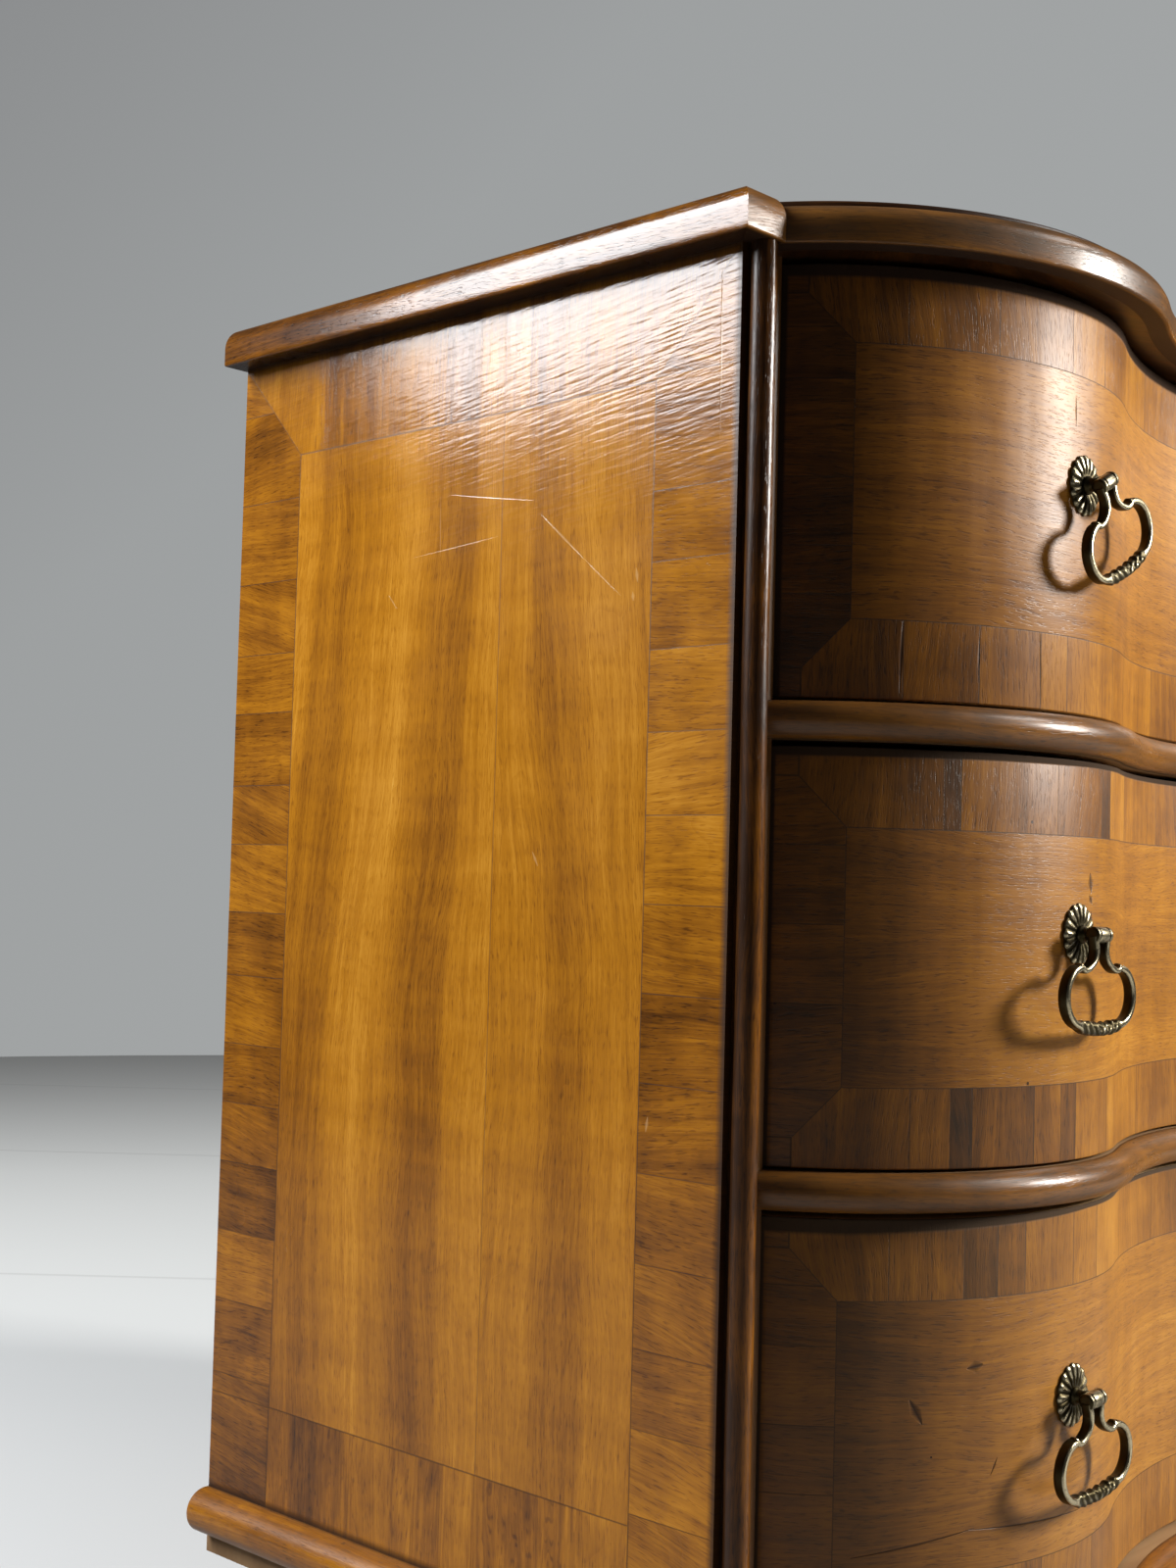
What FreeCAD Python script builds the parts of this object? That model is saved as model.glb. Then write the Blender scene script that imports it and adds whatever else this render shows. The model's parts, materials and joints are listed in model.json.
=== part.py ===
import FreeCAD, Part
import math
import os
import Sketcher
from FreeCAD import Vector

# Serpentine chest of three drawers, in millimetres.
# X runs along the front with 0 on the centre line, the front looks to -Y, and the floor is Z = 0.
# Every piece is first drawn with y = 0 at the front edge of the side panels,
# and is then shifted so that y = 0 lies in the middle of the whole chest.

doc = FreeCAD.newDocument("serpentine_chest")
sheet = doc.addObject("Spreadsheet::Sheet", "Sizes")

# Driving dimensions

DRIVING_SIZES = [
    # the case as a whole
    ("case_width", 740),
    ("case_depth", 381),
    ("case_height", 660),
    ("side_overhang", 15),
    ("rear_overhang", 3),
    ("foot_height", 60),
    ("foot_diameter", 80),
    ("foot_neck_diameter", 46),
    ("foot_pad_diameter", 50),
    ("foot_side_inset", 60),
    ("foot_end_inset", 58),
    ("batten_thickness", 12),
    ("batten_width", 110),
    ("base_thickness", 25),
    ("opening_low_share", 0.33307),
    ("opening_mid_share", 0.32504),
    ("divider_thickness", 18.5),
    ("divider_depth", 90),
    ("top_thickness", 24),
    ("top_fillet", 4),
    ("side_thickness", 22),
    ("stile_width", 8),
    ("stile_depth", 40),
    ("back_thickness", 10),
    ("back_rebate", 9),
    ("runner_width", 26),
    # the serpentine line that the drawer faces follow
    ("face_end_setback", 1.17),
    ("lobe_setback", 92.1),
    ("lobe_radius", 172),
    ("hollow_radius", 322),
    # mouldings
    ("nosing_reach", 10.4),
    ("nose_reach", 22.9),
    ("top_front_depth", 11.9),
    ("top_side_round", 14),
    ("top_front_round", 10),
    ("base_front_depth", 15),
    ("return_width", 13.5),
    ("bead_diameter", 12.4),
    ("bead_neck", 6.5),
    ("bead_inset", 7.5),
    ("bead_forward", 7.1),
    # drawers
    ("drawer_side_gap", 1),
    ("drawer_low_gap", 1.5),
    ("drawer_top_gap", 3),
    ("slide_gap", 0.3),
    ("joint_gap", 0.2),
    ("front_thickness", 22),
    ("front_shoulder", 30),
    ("lining_thickness", 12),
    ("lining_drop", 24),
    ("drawer_back_thickness", 12),
    ("drawer_rear_gap", 12),
    ("bottom_thickness", 8),
    ("bottom_groove_rise", 8),
    ("bottom_groove_depth", 5),
    # handles
    ("handle_height_1", 117),
    ("handle_height_2", 113),
    ("handle_height_3", 113),
    ("plate_width", 26),
    ("plate_height", 30),
    ("plate_thickness", 2),
    ("pivot_reach", 12),
    ("eye_diameter", 9),
    ("eye_width", 9),
    ("collar_diameter", 11),
    ("post_diameter", 6.5),
    ("shank_diameter", 5),
    ("shank_gap", 0.1),
    ("nut_width", 10),
    ("nut_thickness", 4),
    ("pin_diameter", 2.8),
    ("pin_gap", 0.1),
    ("bail_wire", 4.8),
    ("bail_bar", 6),
    ("bail_arm_gap", 0.3),
    ("bail_arm_drop", 9),
    ("bail_elbow_radius", 7.5),
    ("bail_elbow_turn", 100),
    ("bail_lobe_radius", 14),
    ("bail_drop", 46),
    ("bar_half_length", 17),
    # how far each handle has turned on its bolt, in degrees
    ("tilt_left_1", 27),
    ("tilt_left_2", -1),
    ("tilt_left_3", 3),
    ("tilt_right_1", -3),
    ("tilt_right_2", -6),
    ("tilt_right_3", -4),
    # one overrun for every cut
    ("overrun", 20),
]

for row, (alias, value) in enumerate(DRIVING_SIZES, start=1):
    sheet.set("A%d" % row, str(value))
    sheet.setAlias("A%d" % row, alias)
doc.recompute()


def size(alias):
    return float(sheet.get(alias))


# Places worked out from the driving dimensions, as expressions

HALF = "Sizes.case_width / 2"
MOULDING_HALF = "(Sizes.case_width / 2 - Sizes.return_width)"
OPENING_HALF = "(Sizes.case_width / 2 - Sizes.side_thickness - Sizes.stile_width)"
DRAWER_HALF = "(Sizes.case_width / 2 - Sizes.side_thickness - Sizes.stile_width - Sizes.drawer_side_gap)"
LINING_HALF = "(%s - Sizes.lining_thickness)" % DRAWER_HALF
LOBE_RISE = "(Sizes.lobe_setback - Sizes.face_end_setback)"
LOBE_X = "(%s - sqrt(Sizes.lobe_radius ^ 2 - %s ^ 2))" % (DRAWER_HALF, LOBE_RISE)
RADII = "(Sizes.lobe_radius + Sizes.hollow_radius)"
HOLLOW_Y = "(Sizes.lobe_setback - sqrt(%s ^ 2 - %s ^ 2) + Sizes.hollow_radius)" % (RADII, LOBE_X)
CREST_Y = "(Sizes.lobe_setback - Sizes.lobe_radius)"
TOP_EDGE = "(Sizes.nose_reach - Sizes.top_front_depth)"
BASE_EDGE = "(Sizes.nose_reach - Sizes.base_front_depth)"
FRONT_REACH = "(Sizes.lobe_radius + Sizes.nose_reach - Sizes.lobe_setback)"
FRONT_Y = "((%s - Sizes.case_depth - Sizes.rear_overhang) / 2)" % FRONT_REACH

BASE_Z = "(Sizes.foot_height + Sizes.batten_thickness)"
CASE_Z = "(%s + Sizes.base_thickness)" % BASE_Z
OPENINGS = "(Sizes.case_height - 2 * Sizes.divider_thickness)"
OPENING_LOW = "(%s * Sizes.opening_low_share)" % OPENINGS
OPENING_MID = "(%s * Sizes.opening_mid_share)" % OPENINGS
OPENING_HIGH = "(%s - %s - %s)" % (OPENINGS, OPENING_LOW, OPENING_MID)
LOWER_DIVIDER_Z = "(%s + %s)" % (CASE_Z, OPENING_LOW)
MID_Z = "(%s + Sizes.divider_thickness)" % LOWER_DIVIDER_Z
UPPER_DIVIDER_Z = "(%s + %s)" % (MID_Z, OPENING_MID)
HIGH_Z = "(%s + Sizes.divider_thickness)" % UPPER_DIVIDER_Z
TOP_Z = "(%s + Sizes.case_height)" % CASE_Z

DRAWERS = {
    "1": (HIGH_Z, OPENING_HIGH),
    "2": (MID_Z, OPENING_MID),
    "3": (CASE_Z, OPENING_LOW),
}

parts = []


# Helpers for objects of the document

def sub_part(item, label):
    """Name a finished sub-part, which is written to a file of that name."""
    item.Label = label
    parts.append(item)
    return item


def place(item, x="0", y="0", z="0"):
    """Bind an object's place. y is counted from the front edge of the side panels."""
    item.setExpression("Placement.Base.x", x)
    item.setExpression("Placement.Base.y", "%s + %s" % (FRONT_Y, y))
    item.setExpression("Placement.Base.z", z)
    return item


def box(name, x, y, z, length, width, height):
    item = doc.addObject("Part::Box", name)
    item.setExpression("Length", length)
    item.setExpression("Width", width)
    item.setExpression("Height", height)
    return place(item, x, y, z)


def cut(name, base, tool):
    item = doc.addObject("Part::Cut", name)
    item.Base = base
    item.Tool = tool
    return item


def fuse(name, shapes):
    item = doc.addObject("Part::MultiFuse", name)
    item.Shapes = shapes
    return item


def group(name, links):
    item = doc.addObject("Part::Compound", name)
    item.Links = links
    return item


def mirrored(name, source):
    """The same piece on the other side of the centre line."""
    item = doc.addObject("Part::Mirroring", name)
    item.Source = source
    item.Normal = Vector(1, 0, 0)
    return item


def origin_plane(body, role):
    for feature in body.Origin.OriginFeatures:
        if feature.Role == role:
            return feature


def new_sketch(body, role, name):
    sketch = body.newObject("Sketcher::SketchObject", name)
    sketch.AttachmentSupport = [(origin_plane(body, role), "")]
    sketch.MapMode = "FlatFace"
    return sketch


def drive(sketch, constraint, expression):
    """Add a dimension to a sketch and bind it to the sheet."""
    number = sketch.addConstraint(constraint)
    sketch.setExpression("Constraints[%d]" % number, expression)


def put(sketch, geometry, point, x=None, y=None):
    """Hold one point of a sketch at distances from the sketch's origin."""
    here = sketch.getPoint(geometry, point)
    if x is not None:
        drive(sketch, Sketcher.Constraint("DistanceX", -1, 1, geometry, point, here.x), x)
    if y is not None:
        drive(sketch, Sketcher.Constraint("DistanceY", -1, 1, geometry, point, here.y), y)


def join(sketch, first, first_point, second, second_point):
    sketch.addConstraint(Sketcher.Constraint("Coincident", first, first_point, second, second_point))


def segment(sketch, start, end, direction=None):
    number = sketch.addGeometry(Part.LineSegment(start, end), False)
    if direction:
        sketch.addConstraint(Sketcher.Constraint(direction, number))
    return number


def closed_outline(body, role, name, corners):
    """A closed outline of straight lines through corners given as pairs of expressions."""
    sketch = new_sketch(body, role, name)
    count = len(corners)
    rough = [Vector(math.cos(math.tau * n / count), math.sin(math.tau * n / count), 0) for n in range(count)]
    scale = size("case_width")
    lines = [segment(sketch, rough[n] * scale, rough[(n + 1) % count] * scale) for n in range(count)]
    for n in range(count):
        join(sketch, lines[n], 2, lines[(n + 1) % count], 1)
    for line, (x, y) in zip(lines, corners):
        put(sketch, line, 1, x, y)
    return sketch


def pad(body, sketch, length, backwards=False):
    item = body.newObject("PartDesign::Pad", body.Name + "_pad")
    item.Profile = sketch
    item.Reversed = backwards
    item.setExpression("Length", length)
    return item


def pocket_through(body, sketch, name):
    item = body.newObject("PartDesign::Pocket", body.Name + name)
    item.Profile = sketch
    item.Type = "ThroughAll"
    item.Midplane = True
    return item


def mirror_in_body(body, feature):
    item = body.newObject("PartDesign::Mirrored", body.Name + "_mirror")
    item.Originals = [feature]
    item.MirrorPlane = (origin_plane(body, "YZ_Plane"), [""])
    body.Tip = item
    return item


# The serpentine line: a hollow in the middle and a bowed lobe at each end, three tangent arcs.
# A board's edge stands some reach outside the line of the drawer faces, or inside it when negative.

def lobe_place():
    """How far a lobe's centre is from the centre line, so that a drawer face ends at its setback."""
    drawer_half = size("case_width") / 2 - size("side_thickness") - size("stile_width") - size("drawer_side_gap")
    rise = size("lobe_setback") - size("face_end_setback")
    return drawer_half - math.sqrt(size("lobe_radius") ** 2 - rise ** 2)


def half_serpentine(sketch, reach, reach_value):
    """The right-hand half of the line. Point 2 of the lobe is its outer end, of the hollow its middle."""
    lobe_x = lobe_place()
    lobe_y = size("lobe_setback")
    lobe_radius = size("lobe_radius")
    hollow_radius = size("hollow_radius")
    drop = math.sqrt((lobe_radius + hollow_radius) ** 2 - lobe_x ** 2)
    turn = math.atan2(drop, lobe_x)
    lobe_circle = Part.Circle(Vector(lobe_x, lobe_y, 0), Vector(0, 0, 1), lobe_radius + reach_value)
    hollow_circle = Part.Circle(Vector(0, lobe_y - drop, 0), Vector(0, 0, 1), hollow_radius - reach_value)
    lobe = sketch.addGeometry(Part.ArcOfCircle(lobe_circle, turn - math.pi, -math.pi / 6), False)
    hollow = sketch.addGeometry(Part.ArcOfCircle(hollow_circle, turn, math.pi / 2), False)
    put(sketch, lobe, 3, LOBE_X, "Sizes.lobe_setback")
    drive(sketch, Sketcher.Constraint("Radius", lobe, lobe_radius + reach_value),
          "Sizes.lobe_radius + %s" % reach)
    sketch.addConstraint(Sketcher.Constraint("PointOnObject", hollow, 3, -2))
    sketch.addConstraint(Sketcher.Constraint("PointOnObject", hollow, 2, -2))
    sketch.addConstraint(Sketcher.Constraint("Tangent", lobe, 1, hollow, 1))
    put(sketch, lobe, 1, "%s * (Sizes.hollow_radius - (%s)) / %s" % (LOBE_X, reach, RADII))
    return lobe, hollow


def serpentine_board(name, reach, reach_value, half_width, rear, thickness, shoulder=False):
    """A board with a serpentine front edge. With a shoulder its corners run square to y = 0."""
    body = doc.addObject("PartDesign::Body", name)
    sketch = new_sketch(body, "XY_Plane", name + "_plan")
    lobe, hollow = half_serpentine(sketch, reach, reach_value)
    middle = sketch.getPoint(hollow, 2)
    end = sketch.getPoint(lobe, 2)
    back = size("case_depth")
    outer = size("case_width") / 2
    centre_line = segment(sketch, middle, Vector(0, back, 0), "Vertical")
    rear_line = segment(sketch, Vector(0, back, 0), Vector(outer, back, 0), "Horizontal")
    join(sketch, centre_line, 1, hollow, 2)
    join(sketch, centre_line, 2, rear_line, 1)
    put(sketch, rear_line, 1, None, rear)
    put(sketch, rear_line, 2, half_width)
    if shoulder:
        end_line = segment(sketch, Vector(outer, back, 0), Vector(outer, 0, 0), "Vertical")
        step_line = segment(sketch, Vector(outer, 0, 0), end, "Horizontal")
        join(sketch, rear_line, 2, end_line, 1)
        join(sketch, end_line, 2, step_line, 1)
        join(sketch, step_line, 2, lobe, 2)
        sketch.addConstraint(Sketcher.Constraint("PointOnObject", lobe, 2, -1))
    else:
        end_line = segment(sketch, Vector(outer, back, 0), end, "Vertical")
        join(sketch, rear_line, 2, end_line, 1)
        join(sketch, end_line, 2, lobe, 2)
    mirror_in_body(body, pad(body, sketch, thickness))
    return body


def serpentine_moulding(name, reach, reach_value, profile):
    """A moulding bent along the serpentine, trimmed by a box to end against its neighbours."""
    body = doc.addObject("PartDesign::Body", name + "_length")
    path = new_sketch(body, "XY_Plane", name + "_path")
    lobe, _ = half_serpentine(path, reach, reach_value)
    put(path, lobe, 2, None, "Sizes.overrun")
    section = new_sketch(body, "YZ_Plane", name + "_section")
    profile(section, "%s - (%s)" % (HOLLOW_Y, reach))
    sweep = body.newObject("PartDesign::AdditivePipe", name + "_sweep")
    sweep.Profile = section
    sweep.Spine = (path, [""])
    mirror_in_body(body, sweep)
    return body


def trim_moulding(name, body, half_width, height, z):
    """Keep the moulding in front of y = 0 and between its two end faces."""
    place(body, z=z)
    reach_forward = "(Sizes.case_width / 2)"
    keep = box(name + "_keep", "-%s" % half_width, "-%s" % reach_forward, z,
               "2 * %s" % half_width, reach_forward, height)
    item = doc.addObject("Part::Common", name)
    item.Base = body
    item.Tool = keep
    return sub_part(item, name)


# Moulding sections. The sketch's first axis runs outwards when sign is 1 and inwards when it is -1.

def half_round(sketch, back, depth, height, sign):
    """A flat-backed section whose outer edge is a half circle."""
    d = size("base_front_depth")
    r = d / 2
    top = segment(sketch, Vector(0, 2 * r, 0), Vector(sign * r, 2 * r, 0), "Horizontal")
    low = segment(sketch, Vector(0, 0, 0), Vector(sign * r, 0, 0), "Horizontal")
    rear = segment(sketch, Vector(0, 0, 0), Vector(0, 2 * r, 0), "Vertical")
    turn = (-math.pi / 2, math.pi / 2) if sign > 0 else (math.pi / 2, 3 * math.pi / 2)
    circle = Part.Circle(Vector(sign * r, r, 0), Vector(0, 0, 1), r)
    nose = sketch.addGeometry(Part.ArcOfCircle(circle, *turn), False)
    low_end, top_end = (1, 2) if sign > 0 else (2, 1)
    join(sketch, rear, 1, low, 1)
    join(sketch, rear, 2, top, 1)
    sketch.addConstraint(Sketcher.Constraint("Tangent", low, 2, nose, low_end))
    sketch.addConstraint(Sketcher.Constraint("Tangent", top, 2, nose, top_end))
    put(sketch, low, 1, back, "0")
    put(sketch, nose, 3, "%s %s (%s - %s / 2)" % (back, "+" if sign > 0 else "-", depth, height), None)
    drive(sketch, Sketcher.Constraint("Radius", nose, r), "%s / 2" % height)


def thumb_round(sketch, back, depth, height, rounding, sign):
    """A section with a flat underside, a sharp lower arris and a well rounded upper edge."""
    d = size("top_front_depth")
    r = d / 2
    plus = "+" if sign > 0 else "-"
    low = segment(sketch, Vector(0, 0, 0), Vector(sign * d, 0, 0), "Horizontal")
    face = segment(sketch, Vector(sign * d, 0, 0), Vector(sign * d, d - r, 0), "Vertical")
    turn = (0, math.pi / 2) if sign > 0 else (math.pi / 2, math.pi)
    circle = Part.Circle(Vector(sign * (d - r), d - r, 0), Vector(0, 0, 1), r)
    nose = sketch.addGeometry(Part.ArcOfCircle(circle, *turn), False)
    top = segment(sketch, Vector(sign * (d - r), d, 0), Vector(0, d, 0), "Horizontal")
    rear = segment(sketch, Vector(0, d, 0), Vector(0, 0, 0), "Vertical")
    face_end, top_end = (1, 2) if sign > 0 else (2, 1)
    join(sketch, low, 2, face, 1)
    sketch.addConstraint(Sketcher.Constraint("Tangent", face, 2, nose, face_end))
    sketch.addConstraint(Sketcher.Constraint("Tangent", nose, top_end, top, 1))
    join(sketch, top, 2, rear, 1)
    join(sketch, rear, 2, low, 1)
    put(sketch, low, 1, back, "0")
    put(sketch, low, 2, "%s %s %s" % (back, plus, depth), None)
    put(sketch, rear, 1, None, height)
    drive(sketch, Sketcher.Constraint("Radius", nose, r), rounding)


def side_moulding(name, profile, rear, z):
    """A straight moulding along the right-hand side, mitred at its front end."""
    body = doc.addObject("PartDesign::Body", name + "_right")
    section = new_sketch(body, "XZ_Plane", name + "_side_section")
    profile(section, HALF, 1)
    pad(body, section, "%s + Sizes.side_overhang" % rear)
    beyond = "-(%s) - Sizes.side_overhang - Sizes.overrun" % rear
    mitre = closed_outline(body, "XY_Plane", name + "_side_mitre", [
        (HALF, "-(%s)" % rear),
        ("%s - Sizes.overrun" % HALF, "-(%s)" % rear),
        ("%s - Sizes.overrun" % HALF, beyond),
        ("%s + Sizes.side_overhang + Sizes.overrun" % HALF, beyond),
    ])
    pocket_through(body, mitre, "_mitre")
    place(body, y=rear, z=z)
    sub_part(body, name + "_right")
    sub_part(mirrored(name + "_left", body), name + "_left")


def corner_return(name, profile, z):
    """The short front piece at the corner, mitred to the side moulding."""
    body = doc.addObject("PartDesign::Body", name + "_right")
    section = new_sketch(body, "YZ_Plane", name + "_section")
    profile(section, "0", -1)
    pad(body, section, "Sizes.return_width + Sizes.side_overhang")
    mitre = closed_outline(body, "XY_Plane", name + "_mitre_plan", [
        ("Sizes.return_width", "0"),
        ("Sizes.return_width + Sizes.side_overhang + Sizes.overrun", "-Sizes.side_overhang - Sizes.overrun"),
        ("Sizes.return_width + Sizes.side_overhang + Sizes.overrun", "Sizes.overrun"),
        ("Sizes.return_width", "Sizes.overrun"),
    ])
    pocket_through(body, mitre, "_mitre")
    place(body, x="%s - Sizes.return_width" % HALF, z=z)
    sub_part(body, name + "_right")
    sub_part(mirrored(name + "_left", body), name + "_left")


# Top: a board with a dark polished edge, a thumb moulding round three sides

def make_top():
    top_reach = size("nose_reach") - size("top_front_depth")
    board = serpentine_board("top_board", TOP_EDGE, top_reach, HALF,
                             "Sizes.case_depth + Sizes.rear_overhang", "Sizes.top_thickness", shoulder=True)
    sub_part(place(board, z=TOP_Z), "top_board")

    def side_profile(section, back, sign):
        thumb_round(section, back, "Sizes.side_overhang", "Sizes.top_thickness", "Sizes.top_side_round", sign)

    def front_profile(section, back):
        thumb_round(section, back, "Sizes.top_front_depth", "Sizes.top_thickness - Sizes.top_fillet",
                    "Sizes.top_front_round", -1)

    side_moulding("top_moulding", side_profile, "Sizes.case_depth + Sizes.rear_overhang", TOP_Z)
    corner_return("top_corner", side_profile, TOP_Z)
    front = serpentine_moulding("top_moulding_front", TOP_EDGE, top_reach, front_profile)
    trim_moulding("top_moulding_front", front, MOULDING_HALF, "Sizes.top_thickness", TOP_Z)


# Base: a board under the case with a half-round moulding, battens below it and four bun feet

def make_base():
    base_reach = size("nose_reach") - size("base_front_depth")
    board = serpentine_board("base_board", BASE_EDGE, base_reach, HALF, "Sizes.case_depth",
                             "Sizes.base_thickness", shoulder=True)
    sub_part(place(board, z=BASE_Z), "base_board")

    def side_profile(section, back, sign):
        half_round(section, back, "Sizes.side_overhang", "Sizes.base_thickness", sign)

    def front_profile(section, back):
        half_round(section, back, "Sizes.base_front_depth", "Sizes.base_thickness", -1)

    side_moulding("base_moulding", side_profile, "Sizes.case_depth", BASE_Z)
    corner_return("base_corner", side_profile, BASE_Z)
    front = serpentine_moulding("base_moulding_front", BASE_EDGE, base_reach, front_profile)
    trim_moulding("base_moulding_front", front, MOULDING_HALF, "Sizes.base_thickness", BASE_Z)


def make_battens():
    right = box("batten_right", "%s - Sizes.batten_width" % HALF, "0", "Sizes.foot_height",
                "Sizes.batten_width", "Sizes.case_depth", "Sizes.batten_thickness")
    sub_part(right, "batten_right")
    sub_part(mirrored("batten_left", right), "batten_left")
    inner_half = "(%s - Sizes.batten_width)" % HALF
    front = serpentine_board("batten_front", "0", 0, inner_half, "Sizes.batten_width",
                             "Sizes.batten_thickness")
    sub_part(place(front, z="Sizes.foot_height"), "batten_front")
    back = box("batten_back", "-%s" % inner_half, "Sizes.case_depth - Sizes.batten_width",
               "Sizes.foot_height", "2 * %s" % inner_half, "Sizes.batten_width", "Sizes.batten_thickness")
    sub_part(back, "batten_back")


FOOT_NECK_SHARE = 0.88
FOOT_BELLY_SHARE = 0.43


def bulge_arc(end, belly):
    """An arc from a narrow end to the belly, where it stands upright: its centre is level with the belly."""
    inset = belly.x - end.x
    rise = belly.y - end.y
    radius = (inset ** 2 + rise ** 2) / (2 * inset)
    centre = Vector(belly.x - radius, belly.y, 0)
    turn = math.atan2(end.y - centre.y, end.x - centre.x)
    return Part.ArcOfCircle(Part.Circle(centre, Vector(0, 0, 1), radius), min(turn, 0), max(turn, 0))


def make_foot(name, x, y):
    """A turned bun foot: a flat pad, a bulging side of two arcs and a narrow neck under the batten."""
    body = doc.addObject("PartDesign::Body", name)
    sketch = new_sketch(body, "XZ_Plane", name + "_section")
    pad_r = size("foot_pad_diameter") / 2
    neck_r = size("foot_neck_diameter") / 2
    belly_r = size("foot_diameter") / 2
    top = size("foot_height")
    belly = Vector(belly_r, top * FOOT_BELLY_SHARE, 0)
    shoulder = Vector(neck_r, top * FOOT_NECK_SHARE, 0)
    axis = segment(sketch, Vector(0, top, 0), Vector(0, 0, 0), "Vertical")
    floor = segment(sketch, Vector(0, 0, 0), Vector(pad_r, 0, 0), "Horizontal")
    lower = sketch.addGeometry(bulge_arc(Vector(pad_r, 0, 0), belly), False)
    upper = sketch.addGeometry(bulge_arc(shoulder, belly), False)
    neck = segment(sketch, shoulder, Vector(neck_r, top, 0), "Vertical")
    ceiling = segment(sketch, Vector(neck_r, top, 0), Vector(0, top, 0), "Horizontal")
    chain = [(axis, 2, floor, 1), (floor, 2, lower, 1), (lower, 2, upper, 1), (upper, 2, neck, 1),
             (neck, 2, ceiling, 1), (ceiling, 2, axis, 1)]
    for first, first_point, second, second_point in chain:
        join(sketch, first, first_point, second, second_point)
    put(sketch, floor, 1, "0", "0")
    put(sketch, floor, 2, "Sizes.foot_pad_diameter / 2")
    put(sketch, lower, 2, "Sizes.foot_diameter / 2", "Sizes.foot_height * %s" % FOOT_BELLY_SHARE)
    put(sketch, lower, 3, None, "Sizes.foot_height * %s" % FOOT_BELLY_SHARE)
    put(sketch, upper, 3, None, "Sizes.foot_height * %s" % FOOT_BELLY_SHARE)
    put(sketch, neck, 2, "Sizes.foot_neck_diameter / 2", "Sizes.foot_height")
    put(sketch, neck, 1, None, "Sizes.foot_height * %s" % FOOT_NECK_SHARE)
    turned = body.newObject("PartDesign::Revolution", name + "_turned")
    turned.Profile = sketch
    turned.ReferenceAxis = (sketch, ["V_Axis"])
    turned.Angle = 360
    sub_part(place(body, x, y), name)


def make_feet():
    side = "(%s - Sizes.foot_side_inset)" % HALF
    for side_name, x in (("left", "-" + side), ("right", side)):
        make_foot("foot_front_" + side_name, x, "Sizes.foot_end_inset")
        make_foot("foot_back_" + side_name, x, "Sizes.case_depth - Sizes.foot_end_inset")


# Case: side panels, stiles inside their front edges, corner beads, dividers, runners and back

def make_sides():
    panel = box("side_board", "%s - Sizes.side_thickness" % HALF, "0", CASE_Z,
                "Sizes.side_thickness", "Sizes.case_depth", "Sizes.case_height")
    rebate = box("side_rebate", "%s - Sizes.side_thickness - Sizes.overrun" % HALF,
                 "Sizes.case_depth - Sizes.back_thickness - Sizes.joint_gap", "%s - Sizes.overrun" % CASE_Z,
                 "Sizes.back_rebate + Sizes.overrun", "Sizes.back_thickness + Sizes.overrun",
                 "Sizes.case_height + 2 * Sizes.overrun")
    right = cut("side_panel_right", panel, rebate)
    sub_part(right, "side_panel_right")
    sub_part(mirrored("side_panel_left", right), "side_panel_left")

    stile = box("front_stile_right", OPENING_HALF, "0", CASE_Z,
                "Sizes.stile_width", "Sizes.stile_depth", "Sizes.case_height")
    sub_part(stile, "front_stile_right")
    sub_part(mirrored("front_stile_left", stile), "front_stile_left")


def make_beads():
    """A round bead at each front corner, with a neck that leaves a dark quirk beside the panel."""
    rod = doc.addObject("Part::Cylinder", "bead_rod")
    rod.setExpression("Radius", "Sizes.bead_diameter / 2")
    rod.setExpression("Height", "Sizes.case_height")
    place(rod, "%s - Sizes.bead_inset" % HALF, "-Sizes.bead_forward", CASE_Z)
    neck = box("bead_back", "%s - Sizes.bead_inset - Sizes.bead_neck / 2" % HALF, "-Sizes.bead_forward",
               CASE_Z, "Sizes.bead_neck", "Sizes.bead_forward", "Sizes.case_height")
    right = fuse("corner_bead_right", [rod, neck])
    sub_part(right, "corner_bead_right")
    sub_part(mirrored("corner_bead_left", right), "corner_bead_left")


def make_dividers():
    """The two dividers between the drawers, each with a half-round nosing along its front edge."""
    def nosing_profile(section, back):
        half_round(section, back, "Sizes.nosing_reach", "Sizes.divider_thickness", -1)

    for name, z in (("upper", UPPER_DIVIDER_Z), ("lower", LOWER_DIVIDER_Z)):
        board = serpentine_board(name + "_divider", "0", 0, OPENING_HALF, "Sizes.divider_depth",
                                 "Sizes.divider_thickness")
        sub_part(place(board, z=z), name + "_divider")
        nosing = serpentine_moulding(name + "_nosing", "0", 0, nosing_profile)
        trim_moulding(name + "_nosing", nosing, "(%s)" % HALF, "Sizes.divider_thickness", z)
        inner = "(%s - Sizes.side_thickness)" % HALF
        length = "Sizes.case_depth - Sizes.back_thickness - Sizes.joint_gap - Sizes.divider_depth"
        right = box(name + "_runner_right", "%s - Sizes.runner_width" % inner, "Sizes.divider_depth", z,
                    "Sizes.runner_width", length, "Sizes.divider_thickness")
        left = mirrored(name + "_runner_left", right)
        sub_part(group(name + "_runners", [right, left]), name + "_runners")


def make_back():
    half = "(%s - Sizes.side_thickness + Sizes.back_rebate - Sizes.joint_gap)" % HALF
    back = box("back_panel", "-%s" % half, "Sizes.case_depth - Sizes.back_thickness", CASE_Z,
               "2 * %s" % half, "Sizes.back_thickness", "Sizes.case_height - Sizes.joint_gap")
    sub_part(back, "back_panel")


# Drawers

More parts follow.
